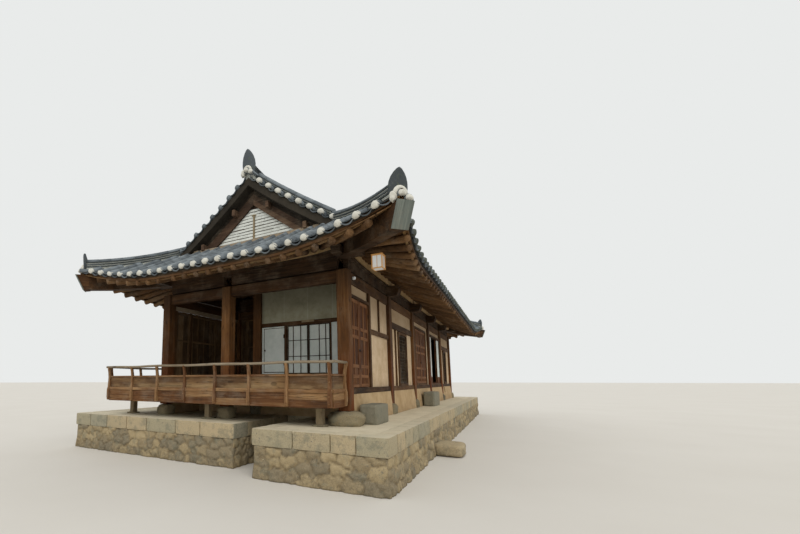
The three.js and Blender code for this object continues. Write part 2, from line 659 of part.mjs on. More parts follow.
// A leaf papered behind bars: a thin sheet, a border and rows and columns of bars.
const BORDER = 45;
function latticed(wall, a0, a1, z0, z1, columns, rows, [d0, d1] = LEAF_DEPTH) {
  const bar = 18;
  const pieces = [
    part(wall, a0, a1, [d0, d0 + 10], z0, z1),
    part(wall, a0, a0 + BORDER, [d0, d1], z0, z1),
    part(wall, a1 - BORDER, a1, [d0, d1], z0, z1),
    part(wall, a0, a1, [d0, d1], z0, z0 + BORDER),
    part(wall, a0, a1, [d0, d1], z1 - BORDER, z1),
  ];
  for (let n = 1; n < columns; n++) {
    const at = THREE.MathUtils.lerp(a0 + BORDER, a1 - BORDER, n / columns);
    pieces.push(part(wall, at - bar / 2, at + bar / 2, [d0, d0 + 28], z0 + 5, z1 - 5));
  }
  for (let n = 1; n < rows; n++) {
    const at = THREE.MathUtils.lerp(z0 + BORDER, z1 - BORDER, n / rows);
    pieces.push(part(wall, a0 + 5, a1 - 5, [d0, d0 + 28], at - bar / 2, at + bar / 2));
  }
  return join(pieces);
}

// Hinges: a knuckle on the leaf and an arm on its jamb turn on one upright axis in front of the leaf. The
// axis stands HINGE_IN from the leaf's edge; toward is +1 where the leaf lies on the far side of its jamb along
// the wall.
const LEAF_GAP = 8;
const HINGE_IN = 10;
const HINGE_OUT = LEAF_DEPTH[1] + 10;
const KNUCKLE = 12;
const ARM = 6;
const HINGE_LENGTH = 45;
const hingeHeights = (z0, z1) => [z0 + 260, z1 - 260];

function knuckles(wall, edge, toward, z0, z1) {
  const [x, y] = WALLS[wall](edge + toward * HINGE_IN, HINGE_OUT);
  return hingeHeights(z0, z1).map((z) => {
    const geometry = new THREE.CylinderGeometry(KNUCKLE, KNUCKLE, HINGE_LENGTH, 6);
    geometry.rotateX(Math.PI / 2);
    geometry.translate(x, y, z + HINGE_LENGTH / 2 + GAP);
    return solid(geometry);
  });
}

function hingeArms(wall, edge, toward, z0, z1) {
  const axis = edge + toward * HINGE_IN;
  const ends = [axis + toward * ARM, axis - toward * (HINGE_IN + LEAF_GAP + 5)].sort((a, b) => a - b);
  return hingeHeights(z0, z1).map((z) => part(wall, ...ends, [HINGE_OUT - ARM, HINGE_OUT + ARM],
    z - HINGE_LENGTH, z));
}

const column = (x, y, top = COLUMN_TOP) => box(x - HALF_COLUMN, x + HALF_COLUMN, y - HALF_COLUMN,
  y + HALF_COLUMN, STONE_TOP, top);
const endColumns = (y) => [-HALF_WIDTH, MIDDLE_X, HALF_WIDTH].map((x) => column(x, y));
const sideColumns = (side) => ROWS.map((y) => column(side * HALF_WIDTH, y));
const LINTEL_DEPTH = [-70, 70];

// Bays between the faces of the columns
const sideEdges = [-HALF_LENGTH, ...ROWS, HALF_LENGTH];
const bays = sideEdges.slice(1).map((edge, n) => [sideEdges[n] + HALF_COLUMN, edge - HALF_COLUMN]);

// Openings [a0, a1, z0, z1]
const HALL_DOOR = [bays[0][0], -5810, SILL_TOP, 3420];
const HALL_HEAD = 3480;
const TOE_POST = [-5810, -5700];
const LATTICE_DOOR = [-3045, -2185, 1630, 3040];
const WIDE_DOOR = [-845, 935, 1610, 3480];
const FOLDING_DOOR = [1715, 4135, 1600, 3480];
const BACK_WINDOW = [5275, 5965, 1630, 3040];
const HIGH_RAIL = [3130, 3300];
const MIDDLE_RAIL = [2780, 2890];
const leafHeights = ([, , z0, z1]) => [z0 + LEAF_GAP, z1 - LEAF_GAP];
const frontHinge = (opening) => [opening[0] + LEAF_GAP, 1, ...leafHeights(opening)];
const backHinge = (opening) => [opening[1] - LEAF_GAP, -1, ...leafHeights(opening)];

function lintelsAndSills(wall) {
  return bays.flatMap(([a0, a1]) => [
    part(wall, a0 - 5, a1 + 5, LINTEL_DEPTH, LINTEL_UNDER, COLUMN_TOP),
    part(wall, a0 - 5, a1 + 5, SILL_DEPTH, FLOOR_UNDER + GAP, SILL_TOP),
  ]);
}
// the lintels and sills of the outermost bays stop short of the corner columns
const cornerClearance = [-1, 1].flatMap((sx) => [-1, 1].map((sy) => box(
  sx * HALF_WIDTH - HALF_COLUMN - GAP, sx * HALF_WIDTH + HALF_COLUMN + GAP,
  sy * HALF_LENGTH - HALF_COLUMN - GAP, sy * HALF_LENGTH + HALF_COLUMN + GAP, STONE_TOP - 50, COLUMN_TOP + 50,
)));

const frameRight = cut(join([
  ...sideColumns(1),
  ...lintelsAndSills('right'),
  part('right', ...TOE_POST, [SHEET + GAP, 90], SILL_TOP - 5, LINTEL_UNDER + 5),
  part('right', HALL_DOOR[0], HALL_DOOR[1] + 5, [SHEET + GAP, 90], HALL_DOOR[3], HALL_HEAD),
  part('right', TOE_POST[1] - 5, bays[0][1] + 5, FACE_DEPTH, ...MIDDLE_RAIL),
  part('right', -4990, -4960, FACE_DEPTH, MIDDLE_RAIL[1] - 5, LINTEL_UNDER + 5),
  ...casing('right', LATTICE_DOOR),
  part('right', bays[1][0] - 5, bays[1][1] + 5, FACE_DEPTH, ...HIGH_RAIL),
  part('right', -3440, -3400, FACE_DEPTH, SILL_TOP - 5, HIGH_RAIL[0] + 5),
  ...casing('right', WIDE_DOOR),
  ...casing('right', FOLDING_DOOR),
  ...casing('right', BACK_WINDOW),
  part('right', bays[4][0] - 5, bays[4][1], FACE_DEPTH, ...HIGH_RAIL),
  ...hingeArms('right', ...backHinge(HALL_DOOR)),
  ...hingeArms('right', ...frontHinge(WIDE_DOOR)),
  ...hingeArms('right', ...backHinge(WIDE_DOOR)),
  ...hingeArms('right', ...backHinge(LATTICE_DOOR)),
]), cornerClearance);

// Folding leaves that fill a bay: a sheet with the leaves' stiles and two rows of rails on its outer face
function foldingScreen(wall, [a0, a1], leaves, top = LINTEL_UNDER + 5) {
  const width = (a1 - a0) / leaves;
  const pieces = [part(wall, a0 - 5, a1 + 5, [-20, 0], SILL_TOP - 5, top)];
  for (let n = 0; n <= leaves; n++) {
    const at = a0 + n * width;
    pieces.push(part(wall, at - STILE, at + STILE, [-10, 20], SILL_TOP - 5, top));
  }
  pieces.push(part(wall, a0 - 5, a1 + 5, [-10, 20], 2100, 2100 + STILE));
  return pieces;
}
const frameLeft = cut(join([
  ...sideColumns(-1),
  ...lintelsAndSills('left'),
  part('left', bays[0][0], -6885, POST_DEPTH, SILL_TOP - 5, 3580),
  part('left', -6385, -6315, POST_DEPTH, SILL_TOP - 5, 3580),
  part('left', bays[0][0], bays[0][1] + 5, FACE_DEPTH, 3540, 3590),
  ...foldingScreen('left', [-6885, -6385], 1, 3545),
  ...foldingScreen('left', [-6315, bays[0][1]], 2, 3545),
  ...bays.slice(1).flatMap((bay) => foldingScreen('left', bay, 2)),
]), cornerClearance);

const endBays = [[-HALF_WIDTH + HALF_COLUMN, MIDDLE_X - HALF_COLUMN],
  [MIDDLE_X + HALF_COLUMN, HALF_WIDTH - HALF_COLUMN]];
const frameFront = join([
  ...endColumns(-HALF_LENGTH),
  ...endBays.map(([a0, a1]) => box(a0 - 5, a1 + 5, -HALF_LENGTH - 70, -HALF_LENGTH + 70, LINTEL_UNDER,
    COLUMN_TOP)),
  ...hingeArms('right', ...frontHinge(HALL_DOOR)),
]);
const frameBack = join([
  ...endColumns(HALF_LENGTH),
  ...endBays.flatMap(([a0, a1]) => [
    part('back', a0 - 5, a1 + 5, LINTEL_DEPTH, LINTEL_UNDER, COLUMN_TOP),
    part('back', a0 - 5, a1 + 5, SILL_DEPTH, FLOOR_UNDER + GAP, SILL_TOP),
    part('back', a0 - 5, a1 + 5, FACE_DEPTH, ...MIDDLE_RAIL),
    part('back', (a0 + a1) / 2 - 20, (a0 + a1) / 2 + 20, FACE_DEPTH, MIDDLE_RAIL[1] - 5, LINTEL_UNDER + 5),
  ]),
]);

// The room's front and side walls stand on the floor boards.
const ROOM_TOP = TOE_BEAM_UNDER - GAP;
const ROOM_BASE = FLOOR_TOP + GAP;
const ROOM_RIGHT = HALF_WIDTH - SHEET - GAP;
const INNER_X = HALF_WIDTH + SILL_DEPTH[0] - GAP; // inner faces of the sills
const PAPER_DOOR = [MIDDLE_X + HALF_COLUMN, 340, 1870, 3100];
const LATTICE_WINDOW = [410, 1600, 1870, 3080];
const ROOM_HEAD = [3100, 3200];
const innerColumn = (y, top) => box(MIDDLE_X - HALF_COLUMN, MIDDLE_X + HALF_COLUMN, y - HALF_COLUMN,
  y + HALF_COLUMN, STONE_TOP, top);
const roomFrame = join([
  innerColumn(-TOE_Y, ROOM_TOP),
  innerColumn(ROWS[0], COLUMN_TOP),
  part('roomFront', PAPER_DOOR[0] - 5, ROOM_RIGHT, [-50, 50], 1790, 1870),
  part('roomFront', PAPER_DOOR[0] - 5, INNER_X, [-50, 50], ROOM_BASE, 1560),
  part('roomFront', PAPER_DOOR[0] - 5, INNER_X, [-20, 20], 1555, 1795),
  part('roomFront', 340, 410, [-50, 80], 1555, ROOM_HEAD[0] + 5),
  ...hingeArms('roomFront', ...backHinge(PAPER_DOOR)),
  part('roomFront', 1600, 1670, [-50, 50], 1555, ROOM_HEAD[0] + 5),
  part('roomFront', PAPER_DOOR[0] - 5, ROOM_RIGHT, [-50, 50], ...ROOM_HEAD),
  part('roomSide', -TOE_Y + HALF_COLUMN - 5, ROWS[0] - HALF_COLUMN + 5, FACE_DEPTH, ...MIDDLE_RAIL),
  part('roomSide', -TOE_Y + HALF_COLUMN - 5, ROWS[0] - HALF_COLUMN + 5, SILL_DEPTH, ROOM_BASE, SILL_TOP),
  part('roomSide', -TOE_Y + HALF_COLUMN - 5, ROWS[0] - HALF_COLUMN + 5, LINTEL_DEPTH, LINTEL_UNDER,
    COLUMN_TOP - GAP),
  part('hallBack', endBays[0][0], endBays[0][1] + 5, SILL_DEPTH, ROOM_BASE, SILL_TOP),
  part('hallBack', endBays[0][0], endBays[0][1] + 5, LINTEL_DEPTH, LINTEL_UNDER, COLUMN_TOP - GAP),
  ...foldingScreen('hallBack', [endBays[0][0] + GAP + 2, endBays[0][1]], 3),
]);

add('frame_front', frameFront, WOOD);
add('frame_back', frameBack, WOOD);
add('frame_right', frameRight, WOOD);
add('frame_left', frameLeft, WOOD);
add('room_frame', cut(roomFrame, [box(-HALF_WIDTH - HALF_COLUMN, -HALF_WIDTH + HALF_COLUMN + GAP,
  ROWS[0] - HALF_COLUMN - GAP, ROWS[0] + HALF_COLUMN + GAP, 0, 5000)]), WOOD);

add('wall_right_1', panel('right', bays[0][0], bays[0][1], SILL_TOP, LINTEL_UNDER,
  [[bays[0][0] - 10, TOE_POST[0], SILL_TOP - 10, HALL_HEAD]]), PLASTER);
add('wall_right_2', panel('right', ...bays[1], SILL_TOP, LINTEL_UNDER, [casingHole(LATTICE_DOOR)]), PLASTER);
add('wall_right_3', panel('right', ...bays[2], SILL_TOP, LINTEL_UNDER, [casingHole(WIDE_DOOR)]), PLASTER);
add('wall_right_4', panel('right', ...bays[3], SILL_TOP, LINTEL_UNDER, [casingHole(FOLDING_DOOR)]), PLASTER);
add('wall_right_5', panel('right', ...bays[4], SILL_TOP, LINTEL_UNDER, [casingHole(BACK_WINDOW)]), PLASTER);
add('wall_left_1', panel('left', ...bays[0], 3590, LINTEL_UNDER), PLASTER);
add('wall_back_left', panel('back', ...endBays[0], SILL_TOP, LINTEL_UNDER), PLASTER);
add('wall_back_right', panel('back', ...endBays[1], SILL_TOP, LINTEL_UNDER), PLASTER);
add('wall_room_front', join([
  part('roomFront', endBays[1][0] + GAP, ROOM_RIGHT, [-SHEET, SHEET], ROOM_HEAD[1] + GAP, LINTEL_UNDER - GAP),
  part('roomFront', endBays[1][0] + GAP, HALF_WIDTH - 70 - GAP, [-SHEET, SHEET], LINTEL_UNDER - 5,
    ROOM_TOP - GAP),
]), PAPER);
add('wall_room_front_lower', part('roomFront', 1670 + GAP, ROOM_RIGHT, [-SHEET, SHEET], 1870 + GAP,
  ROOM_HEAD[0] - GAP), PLASTER);
add('wall_room_side', panel('roomSide', -TOE_Y + HALF_COLUMN, ROWS[0] - HALF_COLUMN, SILL_TOP,
  LINTEL_UNDER), PLASTER);

// Door leaves and fixed windows

function pair(wall, opening, rails, names) {
  const [a0, a1] = opening;
  const [z0, z1] = leafHeights(opening);
  const middle = (a0 + a1) / 2;
  const half = LEAF_GAP / 2;
  add(names[0], join([
    panelled(wall, a0 + LEAF_GAP, middle - half, z0, z1, rails), ...knuckles(wall, ...frontHinge(opening)),
  ]), WOOD);
  add(names[1], join([
    panelled(wall, middle + half, a1 - LEAF_GAP, z0, z1, rails), ...knuckles(wall, ...backHinge(opening)),
  ]), WOOD);
}
pair('right', HALL_DOOR, [1760, 1970, 2580, 2770], ['hall_door_front_leaf', 'hall_door_back_leaf']);
pair('right', WIDE_DOOR, [2100, 2880], ['wide_door_front_leaf', 'wide_door_back_leaf']);
add('lattice_door', join([
  latticed('right', LATTICE_DOOR[0] + LEAF_GAP, LATTICE_DOOR[1] - LEAF_GAP, ...leafHeights(LATTICE_DOOR),
    3, 5),
  ...knuckles('right', ...backHinge(LATTICE_DOOR)),
]), WOOD);
add('paper_door', join([
  part('roomFront', PAPER_DOOR[0] + LEAF_GAP, PAPER_DOOR[1] - LEAF_GAP, LEAF_DEPTH,
    ...leafHeights(PAPER_DOOR)),
  ...knuckles('roomFront', ...backHinge(PAPER_DOOR)),
]), PAPER);
add('lattice_windows', join([
  latticed('roomFront', 410 + GAP, 1005, 1870 + GAP, 3100 - GAP, 3, 3),
  latticed('roomFront', 1004, 1600 - GAP, 1870 + GAP, 3100 - GAP, 3, 3),
]), PAPER);
add('back_window', latticed('right', BACK_WINDOW[0] + GAP, BACK_WINDOW[1] - GAP, BACK_WINDOW[2] + GAP,
  BACK_WINDOW[3] - GAP, 3, 4), WOOD);

const FOLDED_LEAF = 600;
function foldedPair(a0) {
  return [[10, 45], [-30, 5]].map((depth) => panelled('right', a0, a0 + FOLDED_LEAF, FOLDING_DOOR[2] + GAP,
    FOLDING_DOOR[3] - GAP, [2330], depth));
}
add('folding_doors', join([
  ...foldedPair(FOLDING_DOOR[0] + GAP),
  ...foldedPair(FOLDING_DOOR[1] - GAP - FOLDED_LEAF),
  part('right', FOLDING_DOOR[0] + GAP, FOLDING_DOOR[1] - GAP, [-30, 45], FOLDING_DOOR[2] + GAP,
    FOLDING_DOOR[2] + 20),
]), PAPER);

// Floors

const columnPlaces = [
  ...[-1, 1].flatMap((side) => [-HALF_WIDTH, MIDDLE_X, HALF_WIDTH].map((x) => [x, side * HALF_LENGTH])),
  ...ROWS.flatMap((y) => [[-HALF_WIDTH, y], [HALF_WIDTH, y]]),
  [MIDDLE_X, -TOE_Y], [MIDDLE_X, ROWS[0]],
];
const columnHoles = columnPlaces.map(([x, y]) => box(x - HALF_COLUMN - GAP, x + HALF_COLUMN + GAP,
  y - HALF_COLUMN - GAP, y + HALF_COLUMN + GAP, STONE_TOP - GAP, COLUMN_TOP));

const FRONT_EDGE = -HALF_LENGTH - 755;
const LEFT_EDGE = -3700;
const RIGHT_EDGE = HALF_WIDTH - 5;
add('hall_and_room_floor', cut(box(-INNER_X, INNER_X, -HALF_LENGTH + HALF_COLUMN,
  HALF_LENGTH + SILL_DEPTH[0] - GAP, FLOOR_UNDER, FLOOR_TOP), columnHoles), WOOD);
add('veranda_floor', cut(join([
  box(LEFT_EDGE, RIGHT_EDGE, FRONT_EDGE, -HALF_LENGTH + HALF_COLUMN - GAP, FLOOR_UNDER, FLOOR_TOP),
  box(LEFT_EDGE, -HALF_WIDTH - SILL_DEPTH[1] - GAP, FRONT_EDGE, HALF_LENGTH, FLOOR_UNDER, FLOOR_TOP),
]), columnHoles), WOOD);

// Stone platform with the columns' foundation stones on it

const GRANITE_KERB = 560;
const PLATFORM_RIGHT = [1190, 3650];
const PLATFORM_LEFT = [-4740, 490];
const PLATFORM_FRONT_RIGHT = -8525;
const PLATFORM_FRONT_LEFT = -8125;
const PLATFORM_BACK = 8525;
const PASSAGE_END = -5950;
const KERB_OUT = 20;

function stoneBlock(x0, x1, y0, y1) {
  return join([
    box(x0 + KERB_OUT, x1 - KERB_OUT, y0 + KERB_OUT, y1 - KERB_OUT, 0, GRANITE_KERB + 5),
    box(x0, x1, y0, y1, GRANITE_KERB, PLATFORM_TOP),
  ]);
}

function boulder(x, y, wide, top, turn) {
  const height = top - PLATFORM_TOP + 20;
  const geometry = new THREE.CylinderGeometry(wide * 0.43, wide * 0.56, height, 6);
  geometry.rotateX(Math.PI / 2);
  geometry.rotateZ(turn);
  geometry.translate(x, y, top - height / 2);
  return solid(geometry);
}
const COLUMN_STONE = 470;
const CORNER_STONE = 620;
// The stone under a column. It is grown a little where it cuts the pieces round it.
function columnStone([x, y], n, grown) {
  const width = x === HALF_WIDTH && y === -HALF_LENGTH ? CORNER_STONE : COLUMN_STONE;
  return boulder(x, y, grown ? width + 1.6 : width, grown ? STONE_TOP : STONE_TOP - GAP, n * 0.7);
}
const stones = columnPlaces.map((place, n) => ({ x: place[0], piece: columnStone(place, n, false) }));
const grownStones = columnPlaces.map((place, n) => columnStone(place, n, true));
const pads = [[2110, -7575], [-750, -7455], [-3500, -7300],
  ...[-TOE_Y, ...ROWS, 6900].map((y) => [-3500, y])];
const padStone = ([x, y]) => box(x - 130, x + 130, y - 110, y + 110, PLATFORM_TOP - 10, PAD_TOP - GAP);
const onRight = (x) => x > PLATFORM_RIGHT[0];
const doorSteps = [[-6900, -6100, 1240], [-500, 600, 1330]].map(([y0, y1, top]) => box(2640, 3000, y0, y1,
  PLATFORM_TOP - 10, top));

add('platform_right', join([
  stoneBlock(...PLATFORM_RIGHT, PLATFORM_FRONT_RIGHT, PLATFORM_BACK),
  ...stones.filter(({ x }) => onRight(x)).map(({ piece }) => piece),
  ...pads.filter(([x]) => onRight(x)).map(padStone),
  ...doorSteps,
]), GRANITE);
add('platform_left', join([
  stoneBlock(...PLATFORM_LEFT, PLATFORM_FRONT_LEFT, PLATFORM_BACK),
  box(PLATFORM_LEFT[1] - 50, PLATFORM_RIGHT[0] - GAP, PASSAGE_END, PLATFORM_BACK, 0, PLATFORM_TOP),
  ...stones.filter(({ x }) => !onRight(x)).map(({ piece }) => piece),
  ...pads.filter(([x]) => !onRight(x)).map(padStone),
]), GRANITE);
add('step_stone', box(PLATFORM_RIGHT[1] - KERB_OUT + GAP, 4250, -4750, -4000, 0, 280), GRANITE);

// Mud-plastered wall under the floor, splayed at its foot, running behind the columns
const UNDER_IN = -330;
function underfloor(wall, a0, a1) {
  const axis = wall === 'right' || wall === 'left' ? 'y' : 'x';
  const base = PLATFORM_TOP + GAP;
  const profile = [[UNDER_IN, base], [150, base], [85, FLOOR_UNDER - GAP], [UNDER_IN, FLOOR_UNDER - GAP]];
  const points = profile.map(([out, z]) => {
    const [x, y] = WALLS[wall](0, out);
    return [axis === 'y' ? x : y, z];
  });
  return prism(axis, points, a0, a1);
}
const fireHole = part('right', 4795, 5095, [-400, 200], 1180, 1430);
const frontReturn = -TOE_Y - 150;
add('underfloor_walls', cut(join([
  underfloor('right', -HALF_LENGTH + 60, HALF_LENGTH + 85),
  underfloor('left', frontReturn, HALF_LENGTH + 85),
  underfloor('back', -HALF_WIDTH - 85, HALF_WIDTH + 85),
  underfloor('roomFront', -HALF_WIDTH - 85, HALF_WIDTH + 85),
]), [fireHole, ...columnHoles, ...grownStones, ...doorSteps]), PLASTER);

// Timber under the hall floor and the veranda
const JOIST_UNDER = 1300;
const underTop = FLOOR_UNDER - GAP;
add('floor_frame', cut(join([
  box(LEFT_EDGE + 50, 2300, -7635, -7515, JOIST_UNDER, underTop),
  box(-3560, -3440, -7635, HALF_LENGTH - 100, JOIST_UNDER, underTop),
  box(-HALF_WIDTH + 350, HALF_WIDTH - 350, -HALF_LENGTH - 80, -HALF_LENGTH + 80, 1240, underTop),
  ...[-2000, 0, 1200].map((x) => box(x - 50, x + 50, -7850, -7050, JOIST_UNDER, underTop)),
  ...pads.map(([x, y]) => box(x - 65, x + 65, y - 65, y + 65, PAD_TOP, JOIST_UNDER + 10)),
  box(-815, -685, -7640, -7390, JOIST_UNDER, underTop),
  box(-3560, -3440, -7400, -7200, JOIST_UNDER, underTop),
]), [...columnHoles, ...grownStones]), DARK_WOOD);

// Railings: a fascia, a panelled band and a round handrail on curved posts

const RAIL_POSTS = 7;
const FASCIA = [1210, 1500];
const BAND = [1550, 1790];
const HANDRAIL = 2045;
function railing(length, posts, overrun = 0) {
  // laid along X from 0, its back face on Y = 0 and its outer side towards -Y
  const pieces = [
    box(0, length, -45, 0, ...FASCIA),
    box(0, length, -30, -5, FASCIA[1] - 5, BAND[1] + 5),
    box(0, length, -55, 0, 1480, BAND[0]),
    box(0, length, -50, 0, BAND[1], BAND[1] + 40),
  ];
  const profile = [[-20, 1230], [-75, 1230], [-85, 1500], [-60, 1800], [-95, 2000], [-95, 2040], [-50, 2040],
    [-15, 1810], [-10, 1500]];
  for (let n = 0; n <= posts; n++) {
    const at = 35 + ((length - 70) * n) / posts;
    pieces.push(prism('x', profile, at - 30, at + 30));
  }
  const rail = new THREE.CylinderGeometry(38, 38, length + 2 * overrun, 6);
  rail.rotateZ(Math.PI / 2);
  rail.translate(length / 2, -72, HANDRAIL);
  return join([...pieces, solid(rail)]);
}
const FRONT_RAILING = RIGHT_EDGE - LEFT_EDGE + 90;
const SIDE_START = FRONT_EDGE + 5; // the side railings start behind the front one
add('railing_front', railing(FRONT_RAILING, RAIL_POSTS, 60)
  .translate([LEFT_EDGE - 45, FRONT_EDGE - GAP, 0]), WOOD);
const leftLength = ROWS[0] - SIDE_START;
add('railing_left', railing(leftLength, 4).rotate([0, 0, -90])
  .translate([LEFT_EDGE - GAP, ROWS[0], 0]), WOOD);
const rightLength = -HALF_LENGTH - HALF_COLUMN - 10 - SIDE_START;
add('railing_right', railing(rightLength, 1).rotate([0, 0, 90])
  .translate([RIGHT_EDGE + GAP, SIDE_START, 0]), WOOD);

// Lantern under the front right corner of the eaves
const LANTERN = [3410, -8025];
add('lantern', largest(cut(join([
  box(LANTERN[0] - 125, LANTERN[0] + 125, LANTERN[1] - 125, LANTERN[1] + 125, 3560, 3860),
  box(LANTERN[0] - 60, LANTERN[0] + 60, LANTERN[1] - 60, LANTERN[1] + 60, 3855, 3900),
  box(LANTERN[0] - 8, LANTERN[0] + 8, LANTERN[1] - 8, LANTERN[1] + 8, 3895, 4120),
]), [hipRafter(1, -1, GAP)])), PAPER);

export default house;
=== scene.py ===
import json
import math
import random

import bmesh
import bpy
import numpy as np
from mathutils import Matrix, Vector, noise

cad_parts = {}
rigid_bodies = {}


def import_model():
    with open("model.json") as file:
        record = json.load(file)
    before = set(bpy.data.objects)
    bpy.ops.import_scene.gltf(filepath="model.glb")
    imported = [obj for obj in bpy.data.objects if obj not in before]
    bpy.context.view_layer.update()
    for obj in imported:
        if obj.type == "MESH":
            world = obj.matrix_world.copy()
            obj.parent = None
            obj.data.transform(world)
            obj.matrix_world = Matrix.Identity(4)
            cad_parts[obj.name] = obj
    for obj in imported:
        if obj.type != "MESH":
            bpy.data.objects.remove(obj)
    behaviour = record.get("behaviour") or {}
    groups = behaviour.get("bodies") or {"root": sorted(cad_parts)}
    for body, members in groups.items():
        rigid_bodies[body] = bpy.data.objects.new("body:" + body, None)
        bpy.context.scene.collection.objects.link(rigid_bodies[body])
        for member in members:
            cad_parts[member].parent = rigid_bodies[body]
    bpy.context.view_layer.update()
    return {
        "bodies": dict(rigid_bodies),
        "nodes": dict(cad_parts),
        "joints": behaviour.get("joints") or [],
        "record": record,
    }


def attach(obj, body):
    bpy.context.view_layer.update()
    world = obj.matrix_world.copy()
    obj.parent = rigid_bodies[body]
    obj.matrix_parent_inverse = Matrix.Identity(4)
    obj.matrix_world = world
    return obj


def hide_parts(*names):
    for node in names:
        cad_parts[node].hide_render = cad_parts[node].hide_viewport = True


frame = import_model()
scene = bpy.context.scene
chance = random.Random(11)
UP = Vector((0, 0, 1))


def put(name, data):
    """A new object in the scene."""
    made = bpy.data.objects.new(name, data)
    scene.collection.objects.link(made)
    return made


def tone(code):
    """A colour written as six hex digits, as linear numbers."""
    shares = [int(code[n:n + 2], 16) / 255 for n in (0, 2, 4)]
    return tuple(c / 12.92 if c <= 0.04045 else ((c + 0.055) / 1.055) ** 2.4 for c in shares) + (1.0,)


# Camera and light

lens = bpy.data.cameras.new("view")
lens.sensor_width = 36
lens.lens = 17.46
lens.shift_x = 0.15
lens.shift_y = 0.08
camera = put("view", lens)
camera.location = (5.276, -14.385, 1.705)
camera.rotation_euler = (math.radians(90 + 7.3), 0, math.radians(30.76))
scene.camera = camera
scene.view_settings.view_transform = "Standard"

world = bpy.data.worlds.new("soft_light")
world.use_nodes = True
sky = world.node_tree.nodes["Background"].inputs
sky["Color"].default_value = tone("e9ebea")
sky["Strength"].default_value = 1.0
scene.world = world

sun = bpy.data.lights.new("broad_light", "SUN")
sun.energy = 1.1
sun.angle = math.radians(50)
sun.color = (1.0, 0.96, 0.9)
put("broad_light", sun).rotation_euler = (math.radians(42), math.radians(8), math.radians(28))


# Finishes

class Wire:
    """A shader socket that takes part in sums."""

    def __init__(self, finish, socket):
        self.finish = finish
        self.socket = socket

    def apply(self, operation, *others):
        return self.finish.maths(operation, self, *others)

    def __add__(self, other):
        return self.apply("ADD", other)

    def __sub__(self, other):
        return self.apply("SUBTRACT", other)

    def __rsub__(self, other):
        return self.finish.maths("SUBTRACT", other, self)

    def __mul__(self, other):
        return self.apply("MULTIPLY", other)

    def __truediv__(self, other):
        return self.apply("DIVIDE", other)

    __radd__ = __add__
    __rmul__ = __mul__

    def between(self, low, high):
        """0 below low, 1 above high and smooth in between."""
        return self.finish.wire("ShaderNodeMapRange", "Result", {"Value": self, "From Min": low, "From Max": high},
                                interpolation_type="SMOOTHSTEP")


def fill(tree, node, sockets):
    """Links or values for a node's sockets. A colour is written as hex digits."""
    for key, value in sockets.items():
        socket = next((i for i in node.inputs if i.enabled and i.name == key), None) or node.inputs[key]
        value = value.socket if isinstance(value, Wire) else value
        if isinstance(value, bpy.types.NodeSocket):
            tree.links.new(value, socket)
        else:
            socket.default_value = tone(value) if socket.type == "RGBA" else value


def new_node(tree, kind, sockets, **settings):
    made = tree.nodes.new(kind)
    for key, value in settings.items():
        setattr(made, key, value)
    fill(tree, made, sockets)
    return made


class Finish:
    """A material with one Principled shader and the nodes that feed it."""

    def __init__(self, name):
        self.material = bpy.data.materials.new(name)
        self.material.use_nodes = True
        self.tree = self.material.node_tree
        self.tree.nodes.clear()
        self.shader = new_node(self.tree, "ShaderNodeBsdfPrincipled", {})
        new_node(self.tree, "ShaderNodeOutputMaterial", {"Surface": self.shader.outputs[0]})
        self.place = self.wire("ShaderNodeTexCoord", "Object", {})

    def wire(self, kind, output, sockets, **settings):
        return Wire(self, new_node(self.tree, kind, sockets, **settings).outputs[output])

    def maths(self, operation, *values):
        return self.wire("ShaderNodeMath", 0, dict(enumerate(values)), operation=operation)

    def mix(self, first, second, factor):
        return self.wire("ShaderNodeMix", 2, {0: factor, 6: first, 7: second}, data_type="RGBA")

    def layers(self, body, *coats):
        """The body's colour with others laid over it, each with its share."""
        for colour, share in coats:
            body = self.mix(body, colour, share)
        return body

    def ramp(self, factor, stops):
        made = new_node(self.tree, "ShaderNodeValToRGB", {0: factor})
        elements = made.color_ramp.elements
        while len(elements) < len(stops):
            elements.new(0.5)
        for element, (at, colour) in zip(elements, stops):
            element.position = at
            element.color = tone(colour)
        return Wire(self, made.outputs[0])

    def attribute(self, name, output="Fac"):
        return self.wire("ShaderNodeAttribute", output, {}, attribute_name=name)

    def part(self, axis):
        """One of the place's three coordinates."""
        return self.wire("ShaderNodeSeparateXYZ", axis, {0: self.place})

    def stretched(self, vector, scale, turn=(0, 0, 0)):
        return self.wire("ShaderNodeMapping", 0, {"Vector": vector, "Scale": scale, "Rotation": turn})

    def grain(self, scale, detail=3.0, rough=0.55, distortion=0.0, vector=None):
        sockets = {"Vector": vector or self.place, "Scale": scale, "Detail": detail, "Roughness": rough,
                   "Distortion": distortion}
        return self.wire("ShaderNodeTexNoise", "Fac", sockets)

    def coat(self, colour, roughness, height=None, depth=0.002, strength=0.6, sheen=0.3):
        """The finished material. height is the relief of its surface."""
        sockets = {"Base Color": colour, "Roughness": roughness, "Specular IOR Level": sheen}
        if height is not None:
            bump = {"Height": height, "Distance": depth, "Strength": strength}
            sockets["Normal"] = self.wire("ShaderNodeBump", 0, bump)
        fill(self.tree, self.shader, sockets)
        return self.material


def floor_finish():
    f = Finish("pale_floor")
    return f.coat(f.mix("cfcac2", "d8d4cd", f.grain(0.35, 4)), 0.95)


FIBRE_TURNS = {"x": (0, 0, 0), "y": (0, 0, math.pi / 2), "z": (0, math.pi / 2, 0)}


